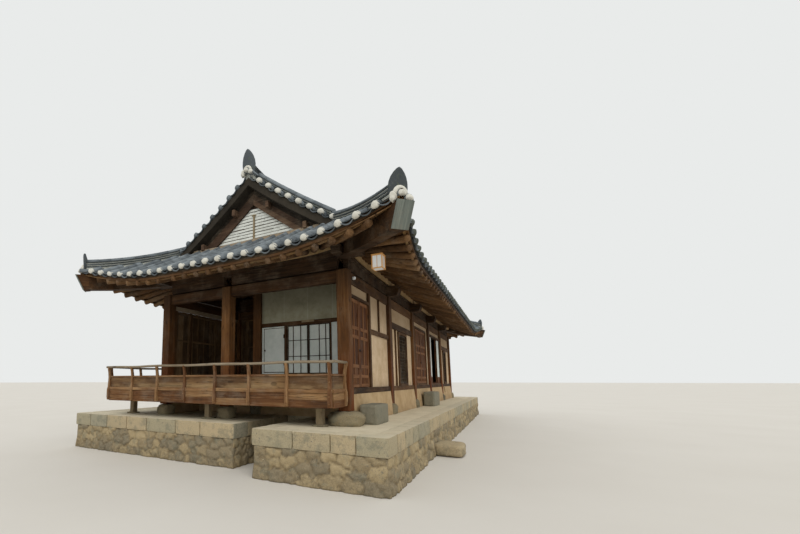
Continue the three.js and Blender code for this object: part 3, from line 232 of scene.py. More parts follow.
def timber(name, dark, middle, pale, axis=None, cracks=0.55, gray=0.25, seams=None, stain=0.0, worn_foot=None):
    """Weathered timber: its fibres run with the piece's grain attribute, or with an axis."""
    f = Finish(name)
    run = f.stretched(f.place, (1, 1, 1), FIBRE_TURNS[axis]) if axis else f.attribute("grain", "Vector")

    def fibres(along, across, *noise_settings):
        return f.grain(1, *noise_settings, vector=f.stretched(run, (along, across, across)))

    bands = fibres(0.7, 11, 3, 0.6, 0.8)
    fibre = fibres(2.2, 70, 4, 0.65)
    patch = fibres(1.1, 3.2, 4, 0.6)
    body = f.ramp(bands * 0.5 + fibre * 0.35 + patch * 0.62 + f.attribute("shade") * 0.26 - 0.37,
                  [(0.2, dark), (0.47, middle), (0.8, pale)])
    split = fibres(0.7, 26, 2, 0.5, 0.3)
    crack = (1 - (split - 0.5).apply("ABSOLUTE").between(0.0, 0.014)) * patch.between(0.44, 0.6) * cracks
    body = f.layers(body, ("8d8170", (f.grain(2.6, 5, 0.65) * 0.75 + fibre * 0.45).between(0.56, 0.78) * gray),
                    ("150e09", crack), ("1d1209", fibres(3.0, 9, 1, 0.4).between(0.69, 0.76) * 0.55))
    if worn_foot:
        body = f.mix(body, "a68c66", (1 - f.part(2).between(*worn_foot)) * patch.between(0.4, 0.6) * 0.5)
    if seams:
        across, pitch = seams
        from_seam = ((f.part(across) / pitch).apply("FRACT") - 0.5).apply("ABSOLUTE")
        body = f.mix(body, "17100b", from_seam.between(0.47, 0.5) * 0.8)
    # A reddish stain low down, and darker brown from 3.0 m up: painted shade under the eaves.
    if stain:
        low = 1 - f.part(2).between(1.1, 2.9)
        body = f.layers(body, ("6b3213", low * stain * patch.between(0.3, 0.6)),
                        ("2c2117", f.part(2).between(3.0, 3.9) * 0.55))
    return f.coat(body, 0.68 + fibre * 0.25, bands * 0.4 + fibre * 0.5 - crack * 1.4, 0.005, 0.8, 0.2)


def lime(name, pale, dirt):
    f = Finish(name)
    spots = f.grain(7, 5, 0.7)
    stain = (spots * 0.6 + f.grain(1.3, 3) * 0.5).between(0.52, 0.78)
    return f.coat(f.mix(pale, dirt, stain * 0.55), 0.9, spots, 0.006, 0.5)


def tile(name, shift, moss=0.3):
    f = Finish(name)
    fine = f.grain(42, 4, 0.7)
    spots = f.grain(17, 5, 0.75)
    body = f.ramp(f.attribute("shade") * 0.38 + f.grain(0.8, 3) * 0.4 + fine * 0.12 - 0.06 + shift,
                  [(0.05, "33393b"), (0.4, "5a6166"), (0.75, "7e868b"), (1.0, "a2a8a8")])
    body = f.layers(body, ("a7aca6", spots.between(0.58, 0.74) * 0.4),
                    ("1f2526", f.grain(3.1, 5, 0.7).between(0.58, 0.8) * 0.5),
                    ("5c6450", f.grain(6.3, 5, 0.7).between(0.56, 0.72) * moss))
    return f.coat(body, 0.55 + fine * 0.3, fine * 0.5 + spots * 0.5, 0.003, 0.5)


def plaster(name, pale, deep, low=1.5, high=3.7):
    """Wall plaster, darker at its foot, with painted shade under its head, and fine cracks."""
    f = Finish(name)
    broad = f.grain(0.8, 4)
    mottle = f.grain(5, 5, 0.65)
    foot = (1 - f.part(2).between(low, low + 0.35)) * mottle
    head_shade = f.part(2).between(high - 0.9, high - 0.1)
    split = f.wire("ShaderNodeTexVoronoi", "Distance", {"Vector": f.stretched(f.place, (1, 1, 1.2)), "Scale": 1.7},
                   feature="DISTANCE_TO_EDGE")
    crack = (1 - split.between(0.0, 0.006)) * broad.between(0.5, 0.62)
    # One dark colour serves both the darker foot and the painted shade under the head.
    body = f.layers(f.mix(pale, deep, (broad * 0.6 + mottle * 0.5).between(0.38, 0.78)),
                    ("7d6549", (foot + head_shade) * 0.55), ("6b563e", crack * 0.5))
    return f.coat(body, 0.93, f.grain(90, 3, 0.8) * 0.25 + mottle * 0.6 - crack, 0.004, 0.5)


def paper(name, pale, deep, seams=None):
    f = Finish(name)
    fibre = f.grain(1, 4, 0.7, vector=f.stretched(f.place, (30, 30, 8)))
    edge = f.grain(11, 3)
    body = f.mix(pale, deep, (f.grain(2.4, 4) * 0.7 + edge * 0.3).between(0.35, 0.75))
    if seams:
        start, pitch = seams
        from_seam = (((f.part(0) - start) / pitch).apply("FRACT") - 0.5).apply("ABSOLUTE")
        # Seam lines between the sheets, and a darker band from 3.3 m up: painted shadow under the lintel.
        body = f.layers(body, ("c9c7b4", from_seam.between(0.475, 0.5) * 0.3),
                        ("4a4636", f.part(2).between(3.3, 3.7) * 0.35))
    return f.coat(body, 0.85, fibre + edge * 0.5, 0.0015, 0.4)


def stone(name, tones, speck="5d574e", moss=0.3, shaded_mortar=None, sandy=None):
    """Granite with specks, pits, damp at its foot and moss. sandy is the height from which sand lies on it."""
    f = Finish(name)
    broad = f.grain(1.6, 4)
    speckle = f.grain(70, 3, 0.85)
    pits = f.grain(16, 5, 0.7)
    body = f.ramp(f.attribute("shade") * 0.75 + broad * 0.35 - 0.05,
                  [(0.08 + 0.28 * n, t) for n, t in enumerate(tones)])
    body = f.layers(body, (speck, speckle.between(0.52, 0.7) * 0.45),
                    ("4f5350", f.grain(26, 4, 0.75).between(0.55, 0.68) * broad.between(0.4, 0.6) * 0.7),
                    ("6c6e60", f.grain(5, 5, 0.68).between(0.5, 0.64) * 0.45),
                    ("d6d0c2", (1 - speckle.between(0.3, 0.45)) * 0.3),
                    ("59503f", (1 - f.part(2).between(0.0, 0.45)) * pits.between(0.35, 0.7) * 0.6),
                    ("5f6048", pits.between(0.55, 0.75) * broad.between(0.45, 0.65) * moss))
    # The joints take a darker mortar colour: partly the mortar's own tone, partly painted shade in the crevices
    # between stones.
    if shaded_mortar:
        body = f.mix(body, shaded_mortar, f.attribute("joint") * 0.6)
    if sandy:
        body = f.mix(body, "d0c5ac", f.part(2).between(*sandy) * (0.45 + broad * 0.7))
    return f.coat(body, 0.9, pits * 0.8 + speckle * 0.25 + broad * 0.4, 0.02, 0.8)


def earth(name, pale, deep):
    f = Finish(name)
    mottle = f.grain(4, 6, 0.7)
    grit = f.grain(60, 4, 0.8)
    body = f.mix(pale, deep, (f.grain(0.6, 4) * 0.5 + mottle * 0.6).between(0.4, 0.8))
    body = f.mix(body, "7c6e59", grit.between(0.6, 0.8) * 0.5)
    return f.coat(body, 0.95, grit * 0.4 + mottle * 0.6, 0.006, 0.5)


def iron(name):
    f = Finish(name)
    rust = f.grain(30, 4, 0.7)
    fill(f.tree, f.shader, {"Metallic": 0.6})
    return f.coat(f.mix("2a2826", "6a3d22", rust.between(0.45, 0.75)), 0.55 + rust * 0.3, rust, 0.001, 0.5)


def glow(name):
    f = Finish(name)
    colour = f.mix("aebac2", "b8ab98", f.grain(14, 3))
    fill(f.tree, f.shader, {"Emission Color": colour, "Emission Strength": 0.35})
    return f.coat(colour, 0.8)


FLOOR = floor_finish()
# stain also turns on the painted shade under the eaves at the columns' heads.
COLUMN_WOOD = timber("column_wood", "2f1b0d", "5c3b1d", "8c6238", cracks=0.8, stain=0.75, gray=0.15)
FRAME_WOOD = timber("frame_wood", "20140a", "452d17", "6b4b2b", cracks=0.6, gray=0.18)
DOOR_WOOD = timber("door_wood", "2a160b", "5a351b", "926642", cracks=0.3, gray=0.12)
DARK_DOOR = timber("dark_door_wood", "17110b", "33261a", "54432f", cracks=0.3)
LEAF_WOOD = timber("leaf_wood", "21170e", "4a3723", "7c6242", cracks=0.3)
RAIL_WOOD = timber("rail_wood", "2c1b0f", "674428", "a5835b", cracks=0.8, gray=0.3)
RAIL_PANEL = timber("rail_panel_wood", "2c1d10", "5e442c", "97774f", cracks=0.8, gray=0.28, worn_foot=(1.58, 1.68))
HANDRAIL_WOOD = timber("handrail_wood", "4a4032", "7a6c58", "a29580", cracks=0.5, gray=0.6)
FLOOR_WOOD = timber("floor_wood", "3f2d1b", "684e33", "92744f", cracks=0.4, gray=0.4)
FRAME_X = timber("roof_wood", "22160b", "4a3119", "6e4f2f", "x")
PURLIN_X = timber("purlin_wood", "1d130b", "412d1b", "664a30", "x")
RAFTER_X = timber("side_rafter_wood", "33210f", "62472d", "8e6d49", "x", gray=0.35)
RAFTER_Y = timber("end_rafter_wood", "33210f", "62472d", "8e6d49", "y", gray=0.35)
SIDE_SOFFIT = timber("side_soffit_wood", "3a2814", "6b4f32", "93744e", "y", cracks=0.2, seams=(0, 0.16))
END_SOFFIT = timber("end_soffit_wood", "3a2814", "6b4f32", "93744e", "x", cracks=0.2, seams=(1, 0.16))
PALE_WOOD = timber("pale_wood", "3d2c18", "6d5233", "94774d", cracks=0.2, gray=0.2)
# Darker than the wall plaster: partly the plaster's own tan, partly painted shade under the eaves.
INFILL = plaster("rafter_infill", "bb9e76", "94784f", 0.0, 9.0)
GABLE_WOOD = timber("gable_wood", "2a1f17", "544032", "7b634c", "x", gray=0.25)
# Very dark: painted shade under the verge tiles.
BARGE_WOOD = timber("barge_wood", "15110d", "2d251c", "4b3f30", "x", gray=0.25)
UNDER_WOOD = timber("underfloor_wood", "6b5d48", "968568", "b8a786", "z", gray=0.4)
# One clay in three tones: round tiles shifted lighter as painted light on their tops, pan and lip tiles darker as
# painted shade in the channels between the rows and under their ends.
TILE = tile("roof_tile", 0.16)
PAN_FINISH = tile("pan_tile", -0.22)
LIP_FINISH = tile("lip_tile", -0.05)
RIDGE_FINISH = tile("ridge_tile", -0.3, 0.5)
END_FINISH = tile("end_tile", -0.14, 1.0)
LIME = lime("lime", "d6d4ca", "8e8a7c")
RIDGE_LIME = lime("ridge_lime", "b9bcb4", "7a7f78")
# Dark grey lime for the right slope's tile ends: painted shade on those ends.
SHADED_END_LIME = lime("shaded_end_lime", "565a52", "2c302b")
BOARD_LIME = lime("limed_boards", "dde0da", "a9aaa2")
# The tile bed is very dark: painted shade where its edges show under the tiles and verges.
BED = earth("tile_bed", "3d372e", "27231d")
PLASTER = plaster("wall_plaster", "d8c1a2", "b89c78")
STRIP_PLASTER = plaster("strip_plaster", "bdb29f", "9d9280")
MUD = plaster("mud_skirting", "c2a883", "a2855c", 0.86, 2.2)
PAPER = paper("door_paper", "e2e8e2", "ccd5cf")
TRANSOM = paper("transom_paper", "a5a28c", "87836c", (-0.36, 0.675))
OLD_PAPER = paper("old_paper", "7d7461", "5e5644")
DRESSED = stone("dressed_stone", ["989380", "a49a7f", "af9f80", "b9a684"], "43423c", 0.35, sandy=(0.853, 0.861))
DOOR_STEP = stone("door_step", ["7f7b6b", "8c8672", "999079", "a39880"], "4c4a42")
# Its joint colour is partly painted shade in the crevices.
RUBBLE = stone("rubble_stone", ["827863", "938468", "a3916f", "b3a07c"], "48433a", 0.35, shaded_mortar="7b6c52")
BOULDER = stone("boulder_stone", ["676050", "797059", "8a7e63", "96886c"], moss=0.4)
PLATFORM = earth("platform_earth", "dacfb6", "c0b498")
IRON = iron("hinge_iron")
GLOW = glow("lantern_panes")
LANTERN_WOOD = timber("lantern_wood", "8a5a2a", "b9854a", "d9ae74", cracks=0.1, gray=0.0)
PLATE_GREEN = timber("hip_plate_wood", "4b514c", "6c736d", "969c92", cracks=0.3, gray=0.3)
LAMP = lime("lamp_dome", "e4e8ea", "c4c9cb")


# Solids

def chamfered():
    """Corners and outward faces of a box with cut edges: three corners, one for each axis, at each box corner."""
    corners = [(x, y, z) for x in (-1, 1) for y in (-1, 1) for z in (-1, 1)]
    names = [(corner, axis) for corner in corners for axis in range(3)]
    faces = []

    def add(*spots):
        faces.append([names.index((tuple(signs[a] for a in range(3)), axis)) for signs, axis in spots])

    for axis in range(3):
        first, second = [a for a in range(3) if a != axis]
        for sign in (-1, 1):
            add(*(({axis: sign, first: u, second: v}, axis) for u, v in ((-1, -1), (1, -1), (1, 1), (-1, 1))))
            for other in range(axis + 1, 3):
                for way in (-1, 1):
                    near, far = [{axis: sign, other: way, 3 - axis - other: end} for end in (-1, 1)]
                    add((near, axis), (far, axis), (far, other), (near, other))
    for corner in corners:
        add(*((corner, axis) for axis in range(3)))
    places = [Vector([c[a] * (1 if a == axis else 0.9) for a in range(3)]) for c, axis in names]
    for face in faces:
        a, b, c = [places[n] for n in face[:3]]
        if (b - a).cross(c - a).dot(a) < 0:
            face.reverse()
    return names, faces


BEAM_CORNERS, BEAM_FACES = chamfered()


def drawn(low, high):
    return Vector([chance.uniform(low, high) for _ in range(3)])


def circle(count):
    """Directions round a circle, as cosine and sine."""
    return [(math.cos(2 * math.pi * n / count), math.sin(2 * math.pi * n / count)) for n in range(count)]


def half_circle(count):
    return [(math.cos(math.pi * n / count), math.sin(math.pi * n / count)) for n in range(count + 1)]


def square_to(forward, spare):
    """Two directions square to forward, the first of them level. spare is the first where forward points up."""
    level = UP.cross(forward)
    level = level.normalized() if level.length > 1e-3 else Vector(spare)
    return level, forward.cross(level)


def bands(rings, count, start=0):
    """The quads between rings of count corners each."""
    return [[a + n, a + (n + 1) % count, a + count + (n + 1) % count, a + count + n]
            for a in range(start, start + (rings - 1) * count, count) for n in range(count)]


def closed_bands(rings, count):
    """The same with a face over each end."""
    last = (rings - 1) * count
    return bands(rings, count) + [list(reversed(range(count))), list(range(last, last + count))]


def mark(mesh, **attributes):
    """Point attributes of a mesh, numbers or vectors."""
    for name, values in attributes.items():
        values = np.array(values, np.float32)
        kind, field = ("FLOAT", "value") if values.ndim == 1 else ("FLOAT_VECTOR", "vector")
        mesh.attributes.new(name, kind, "POINT").data.foreach_set(field, values.ravel())


def smooth_faces(mesh):
    mesh.polygons.foreach_set("use_smooth", [True] * len(mesh.polygons))


def finished(name, mesh, body="house", replaces=()):
    """A piece of the house: its body and the CAD nodes that it stands for."""
    piece = put(name, mesh)
    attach(piece, body)
    if replaces:
        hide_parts(*replaces)


class Heap:
    """Many small solids in one mesh. Each has its own shade and its own fibre direction, run."""

    def __init__(self):
        self.points, self.faces, self.grains, self.shades = [], [], [], []

    def add(self, points, faces, run=0, shade=None, grains=None):
        start = len(self.points)
        shift = drawn(-9, 9)
        shade = chance.random() if shade is None else shade
        self.points += [tuple(p) for p in points]
        self.grains += [[p[(run + k) % 3] + shift[k] for k in range(3)] for p in grains or points]
        self.shades += [shade] * len(points)
        self.faces += [[start + i for i in face] for face in faces]

    def beam(self, low, high, run=None, cut=0.004, turn=None, shade=None):
        """A bar between two corners, its edges cut."""
        low, high = Vector(low), Vector(high)
        size = high - low
        run = max(range(3), key=lambda a: size[a]) if run is None else run
        cut = min(cut, min(size) * 0.3)
        points = [Vector([(low if c[a] < 0 else high)[a] - (0 if a == axis else c[a] * cut) for a in range(3)])
                  for c, axis in BEAM_CORNERS]
        self.add([turn @ p for p in points] if turn else points, BEAM_FACES, run, shade, points)

    def prism(self, outline, along, low, high, run, turn=None, narrow=None):
        """A flat outline pushed along an axis. The outline's points are in the two other axes, in order.
        narrow gives the share of the width that is kept at a height."""
        flat = [a for a in range(3) if a != along]
        count, middle, points = len(outline), (low + high) / 2, []
        for level in (low, high):
            for u, v in outline:
                p = [0, 0, 0]
                p[flat[0]], p[flat[1]], p[along] = u, v, level
                if narrow:
                    p[along] = middle + (level - middle) * narrow(p[2])
                points.append(Vector(p))
        after = outline[1:] + outline[:1]
        area = sum(a[0] * b[1] - b[0] * a[1] for a, b in zip(outline, after))
        rings = [list(range(count)), list(range(2 * count - 1, count - 1, -1))]
        rings += [[(i + 1) % count, i, i + count, (i + 1) % count + count] for i in range(count)]
        if (area > 0) != (along == 1):
            rings = [r[::-1] for r in rings]
        self.add([turn @ p for p in points] if turn else points, rings, run, None, points)

    def rod(self, start, end, radius, sides=12, shade=None):
        """A straight round bar."""
        start, end = Vector(start), Vector(end)
        level, up = square_to((end - start).normalized(), (1, 0, 0))
        points, grains = [], []
        for at, travel in ((start, 0), (end, (end - start).length)):
            for c, s in circle(sides):
                points.append(at + level * c * radius + up * s * radius)
                grains.append(Vector((travel, c * radius, s * radius)))
        self.add(points, closed_bands(2, sides), 0, shade, grains)

    def tube(self, centre, radius, sides, rough, turn=None):
        """An uneven round bar along a line of points."""
        seed = drawn(0, 90)
        points, grains, travel = [], [], 0.0
        for n, p in enumerate(centre):
            forward = centre[min(n + 1, len(centre) - 1)] - centre[max(n - 1, 0)]
            level, up = square_to(forward.normalized(), (0, 1, 0))
            travel += (p - centre[n - 1]).length if n else 0
            for c, s in circle(sides):
                swell = radius * (1 + rough * noise.noise(p * 9 + seed + Vector((c, s, 0))))
                spot = p + level * c * swell + up * s * swell
                points.append(turn @ spot if turn else spot)
                grains.append(Vector((travel, c * swell, s * swell)))
        self.add(points, closed_bands(len(centre), sides), 0, None, grains)

    def lump(self, low, high, power=5.0, rough=0.02, cells=3, turn=0.0, shade=None, seed=None):
        """A stone: a box rounded to a superellipsoid and roughened."""
        low, high = Vector(low), Vector(high)
        centre, half = (low + high) / 2, (high - low) / 2
        seed = drawn(0, 90) if seed is None else seed
        spin = Matrix.Rotation(turn, 3, "Z")
        index, points, faces = {}, [], []

        def corner(q):
            key = tuple(round(v, 4) for v in q)
            if key not in index:
                unit = Vector(q) / sum(abs(v) ** power for v in q) ** (1 / power)
                swell = 1 + rough * noise.noise(unit * 1.7 + seed) + rough * 0.5 * noise.noise(unit * 4.3 + seed)
                index[key] = len(points)
                points.append(centre + spin @ (Vector([unit[a] * half[a] for a in range(3)]) * swell))
            return index[key]

        for axis in range(3):
            for sign in (-1, 1):
                for i in range(cells):
                    for j in range(cells):
                        ring = []
                        for u, v in ((i, j), (i + 1, j), (i + 1, j + 1), (i, j + 1)):
                            q = [0, 0, 0]
                            q[axis], q[(axis + 1) % 3], q[(axis + 2) % 3] = sign, 2 * u / cells - 1, 2 * v / cells - 1
                            ring.append(corner(q))
                        faces.append(ring[::sign])
        self.add(points, faces, 0, shade)

    def grid(self, lower, upper, run=0, shade=None):
        """A closed slab between two sheets of points, each a list of rows."""
        height, width = len(lower), len(lower[0])
        end, side, faces = height - 1, width - 1, []

        def add(*corners):
            faces.append([(sheet * height + j) * width + i for sheet, j, i in corners])

        for j in range(end):
            for i in range(side):
                add((0, j, i), (0, j + 1, i), (0, j + 1, i + 1), (0, j, i + 1))
                add((1, j, i), (1, j, i + 1), (1, j + 1, i + 1), (1, j + 1, i))
        for j in range(end):
            add((0, j, 0), (1, j, 0), (1, j + 1, 0), (0, j + 1, 0))
            add((0, j, side), (0, j + 1, side), (1, j + 1, side), (1, j, side))
        for i in range(side):
            add((0, 0, i), (0, 0, i + 1), (1, 0, i + 1), (1, 0, i))
            add((0, end, i), (1, end, i), (1, end, i + 1), (0, end, i + 1))
        j, i = height // 2, width // 2
        first = lower[j][i]
        if (lower[j - 1][i] - first).cross(lower[j][i - 1] - first).dot(upper[j][i] - first) > 0:
            faces = [f[::-1] for f in faces]
        self.add([p for sheet in (lower, upper) for row in sheet for p in row], faces, run, shade)

    def plug(self, place, radius, bulge, sag=0.6, rings=4, sides=12):
        """A hand-pressed lump of lime that closes the lower end of a round tile. It points back along X."""
        seed = drawn(0, 90)
        points = [Vector((-bulge, 0, 0))]
        for ring in range(1, rings + 2):
            angle = math.pi / 2 * min(ring, rings) / rings
            back = 0.05 if ring > rings else -bulge * math.cos(angle)
            for across, up in circle(sides):
                up *= sag if up < 0 else 1
                bump = noise.noise(Vector((across, up, ring * 0.4)) * 1.4 + seed)
                swell = radius * math.sin(angle) * (1 + 0.16 * bump)
                dent = 0.012 * noise.noise(Vector((up, across, 1)) + seed)
                points.append(Vector((back - dent, across * swell, up * swell)))
        faces = [[0, 1 + (n + 1) % sides, 1 + n] for n in range(sides)] + bands(rings + 1, sides, 1)
        faces.append([1 + rings * sides + n for n in range(sides)])
        self.add([place @ p for p in points], faces)

    def make(self, name, material, slot="wood", body="house", replaces=(), smooth=False):
        mesh = bpy.data.meshes.new(name)
        mesh.from_pydata(self.points, [], self.faces)
        mark(mesh, grain=self.grains, shade=self.shades)
        mesh.materials.append(material)
        if smooth:
            smooth_faces(mesh)
        mesh.update()
        finished(name, mesh, body, replaces)


# Shapes repeated over marked points

def repeat_tree():
    """A node tree that sets one shape on every point. Each copy leans a little and has its own shade."""
    tree = bpy.data.node_groups.new("repeat_shape", "GeometryNodeTree")
    for name, kind, value in (("Points", "Geometry", None), ("Shape", "Object", None), ("Length", "Float", 1.0),
                              ("Width", "Float", 1.0), ("Height", "Float", 1.0), ("Tilt", "Float", 0.01),
                              ("Seed", "Int", 1), ("Finish", "Material", None)):
        made = tree.interface.new_socket(name=name, in_out="INPUT", socket_type="NodeSocket" + kind)
        if value is not None:
            made.default_value = value
    tree.interface.new_socket(name="Result", in_out="OUTPUT", socket_type="NodeSocketGeometry")
    given = tree.nodes.new("NodeGroupInput").outputs

    def node(kind, sockets, output=None, **settings):
        made = new_node(tree, kind, sockets, **settings)
        return made.outputs[output] if output else next(o for o in made.outputs if o.enabled)

    def vector_of(name):
        return node("GeometryNodeInputNamedAttribute", {"Name": name}, data_type="FLOAT_VECTOR")

    def random_value(kind, low, high, offset):
        seed = node("ShaderNodeMath", {0: given["Seed"], 1: offset})
        return node("FunctionNodeRandomValue", {"Min": low, "Max": high, "Seed": seed}, data_type=kind)

    lean = [node("ShaderNodeVectorMath", {0: (sign, sign, sign), "Scale": given["Tilt"]}, operation="SCALE")
            for sign in (-1.0, 1.0)]
    turn = node("ShaderNodeVectorMath", {0: vector_of("turn"), 1: random_value("FLOAT_VECTOR", *lean, 3)},
                operation="ADD")
    sizes = node("ShaderNodeCombineXYZ", {0: given["Length"], 1: given["Width"], 2: given["Height"]})
    scaled = node("ShaderNodeVectorMath", {0: vector_of("size"), 1: sizes}, operation="MULTIPLY")
    shape = node("GeometryNodeObjectInfo", {"As Instance": True, "Object": given["Shape"]}, "Geometry")
    copies = node("GeometryNodeInstanceOnPoints", {"Points": given["Points"], "Instance": shape, "Scale": scaled,
                                                   "Rotation": node("FunctionNodeEulerToRotation", {0: turn})})
    shaded = node("GeometryNodeStoreNamedAttribute", {"Name": "shade", "Geometry": copies,
                                                      "Value": random_value("FLOAT", 0.0, 1.0, 0)},
                  data_type="FLOAT", domain="INSTANCE")
    solid = node("GeometryNodeRealizeInstances", {0: shaded})
    result = node("GeometryNodeSetMaterial", {"Geometry": solid, "Material": given["Finish"]})
    tree.links.new(result, tree.nodes.new("NodeGroupOutput").inputs[0])
    return tree


REPEAT = repeat_tree()


def repeat(name, shape, places, material, tilt, seed, smooth=False):
    """A piece made of one shape at every (matrix, size) of places."""
    holder = bpy.data.meshes.new(name + "_points")
    holder.from_pydata([tuple(m.translation) for m, _ in places], [], [])
    mark(holder, turn=[tuple(m.to_euler()) for m, _ in places], size=[tuple(s) for _, s in places])
    carrier, sample = put(name + "_points", holder), put(name + "_shape", shape)
    modifier = carrier.modifiers.new("repeat", "NODES")
    modifier.node_group = REPEAT
    values = {"Shape": sample, "Length": 1.0, "Width": 1.0, "Height": 1.0, "Tilt": float(tilt), "Seed": seed,
              "Finish": material}
    for item in REPEAT.interface.items_tree:
        if item.in_out == "INPUT" and item.name in values:
            modifier[item.identifier] = values[item.name]
    graph = bpy.context.evaluated_depsgraph_get()
    mesh = bpy.data.meshes.new_from_object(carrier.evaluated_get(graph), depsgraph=graph)
    mesh.name = name
    for spare in ("turn", "size"):
        if spare in mesh.attributes:
            mesh.attributes.remove(mesh.attributes[spare])
    if smooth:
        smooth_faces(mesh)
    bpy.data.objects.remove(carrier)
    bpy.data.objects.remove(sample)
    finished(name, mesh)


# Roof surface, in metres. s is the distance in from the straight eave, u the distance from the corner along it.

SIDES = (-1, 1)
CORNERS = [(side_x, side_y) for side_y in SIDES for side_x in SIDES]
EAVE_X, EAVE_Y = 3.82, 8.485
VERGE_Y, VERGE_S = 7.05, 1.435
GABLE_Y, BARGE_Y, GABLE_RIDGE_Y = 6.755, 6.825, 6.65
EAVE_TOP, EAVE_UNDER = 4.1, 3.99
CORNER_REACH, CORNER_LIFT, CORNER_BOW = 2.5, 0.42, 0.22
MID_S = 2.68
FACES = {"right": (0, 1), "left": (0, -1), "back": (1, 1), "front": (1, -1)}


def lift(u):
    """How much higher the roof is near its corners."""
    return CORNER_LIFT * max(0.0, 1 - u / CORNER_REACH) ** 2


def bow(u):
    """How much further the eave reaches near its corners, CORNER_BOW at the tip, which is itself that far out."""
    return CORNER_BOW * (max(0.0, 1 - u / CORNER_REACH) / (1 + CORNER_BOW / CORNER_REACH)) ** 2


def roof_top(s):
    return EAVE_TOP + 0.5 * s + 0.04 * s * s


def lower_soffit(s):
    return EAVE_UNDER + 0.4 * s


def soffit(s):
    return lower_soffit(min(s, MID_S)) + 0.75 * max(0.0, s - MID_S)


def long_side(face):
    return FACES[face][0] == 0


def half_length(face):
    return EAVE_Y if long_side(face) else EAVE_X


def on_roof(face, s, along, height=0.0, surface=roof_top):
    """A point on a slope. A long slope faces +X or -X, a short one +Y or -Y."""
    side = FACES[face][1]
    z = surface(s) + lift(half_length(face) - abs(along)) + height
    return Vector((side * (EAVE_X - s), along, z) if long_side(face) else (along, side * (EAVE_Y - s), z))


def basis(origin, forward, up=UP):
    """A matrix whose X points forward and whose Z is as near to up as it can be."""
    forward = forward.normalized()
    across = up.cross(forward).normalized()
    made = Matrix((forward, across, forward.cross(across))).transposed().to_4x4()
    made.translation = origin
    return made


def roof_basis(face, s, along, height):
    step = 0.02
    uphill = on_roof(face, s + step, along) - on_roof(face, s - step, along)
    level = on_roof(face, s, along + step) - on_roof(face, s, along - step)
    normal = uphill.cross(level)
    if normal.z < 0:
        normal.negate()
    normal.normalize()
    return basis(on_roof(face, s, along) + normal * height, uphill, normal)


# Tiles

ROW = 0.33
ROUND, ROUND_STEP, ROUND_SEAT = 0.074, 0.28, 0.05
PAN_STEP, PAN_RISE, PAN_SEAT = 0.155, 0.017, 0.012
UNIT = (1, 1, 1)


def loft(name, sections):
    """A closed mesh between outlines that have the same number of points, with its faces turned outwards."""
    count = len(sections[0])
    faces = [list(range(count)), list(range((len(sections) - 1) * count, len(sections) * count))]
    work = bmesh.new()
    corners = [work.verts.new(p) for outline in sections for p in outline]
    for face in faces + bands(len(sections), count):
        work.faces.new([corners[n] for n in face])
    bmesh.ops.recalc_face_normals(work, faces=work.faces)
    mesh = bpy.data.meshes.new(name)
    work.to_mesh(mesh)
    work.free()
    return mesh


def round_tile(radius, tail, length, side=0.03):
    """A convex tile: a half round on short straight sides, a little narrower at its upper end."""
    sections = []
    for at, r in ((0.0, radius), (length, tail)):
        arch = [(at, c * r, s * r) for c, s in half_circle(8)]
        sections.append([(at, r, -side), *arch, (at, -r, -side)])
    return loft("round_tile", sections)


def spread(segments):
    """Places across a tile, from -1 to 1."""
    return [2 * n / segments - 1 for n in range(segments + 1)]


def pan_tile(half, sag, length):
    """A concave tile: a curved plate, low in its middle."""
    across = spread(6)
    return loft("pan_tile", [[(at, v * half, sag * v * v) for v in across]
                             + [(at, v * half, sag * v * v + 0.014) for v in reversed(across)]
                             for at in (0.0, length)])


def lip_tile(half, sag):
    """The curved edge of the lowest pan tile of a row: a thin crescent."""
    across = spread(8)
    return loft("lip_tile", [[(at, v * half, sag * v * v - 0.01 * (1 - v * v) - 0.03) for v in across]
                             + [(at, v * half, sag * v * v - 0.016) for v in reversed(across)]
                             for at in (-0.03, 0.0)])


ROUND_TILE = round_tile(ROUND, ROUND * 0.97, ROUND_STEP + 0.03)
PAN_TILE = pan_tile(0.13, 0.032, PAN_STEP + 0.05)
LIP_TILE = lip_tile(0.122, 0.06)


def row_limits(face, along):
    """Where a row of tiles starts and ends, as distances from the straight eave."""
    u = half_length(face) - abs(along)
    hip = u - 0.1
    if long_side(face):
        return -bow(u), EAVE_X - 0.1 if abs(along) < GABLE_RIDGE_Y - 0.12 else hip
    return -bow(u), min(hip, EAVE_Y - GABLE_Y - 0.03)


def climb(start, end, step):
    """Distances s from start to end whose places on the slope are step apart."""
    places, s = [], start
    while s < end - 0.05:
        places.append(s)
        s += step / math.hypot(1, 0.5 + 0.08 * max(0, s))
    return places


plugs, shaded_plugs = Heap(), Heap()
lean = Matrix.Rotation(PAN_RISE / PAN_STEP, 4, "Y")
for face in FACES:
    length = half_length(face)
    count = int((length + 0.16) / ROW)
    rounds, pans, lips = [], [], []
    for n in range(-count, count + 1):
        start, end = row_limits(face, n * ROW)
        if end - start > 0.06:
            rounds += [(roof_basis(face, s, n * ROW, ROUND_SEAT), UNIT) for s in climb(start - 0.04, end, ROUND_STEP)]
            # The right slope's tile ends take the dark lime: painted shade.
            bag = shaded_plugs if face == "right" else plugs
            bag.plug(roof_basis(face, start - 0.035, n * ROW, ROUND_SEAT), 0.076, chance.uniform(0.03, 0.045))
    for n in range(-count - 1, count + 1):
        along = (n + 0.5) * ROW
        if abs(along) < length + 0.19:
            start, end = row_limits(face, along)
            pans += [(roof_basis(face, s, along, PAN_SEAT + PAN_RISE) @ lean, UNIT)
                     for s in climb(start - 0.03, end + 0.08, PAN_STEP)]
            lips.append((roof_basis(face, start - 0.03, along, PAN_SEAT), UNIT))
    repeat(f"round_tiles_{face}", ROUND_TILE, rounds, TILE, 0.004, 3, True)
    repeat(f"pan_tiles_{face}", PAN_TILE, pans, PAN_FINISH, 0.005, 5)
    repeat(f"eave_lips_{face}", LIP_TILE, lips, LIP_FINISH, 0.03, 7)

# Verges: short rows laid across the edge of each gable overhang, with lime in their ends on the right slope

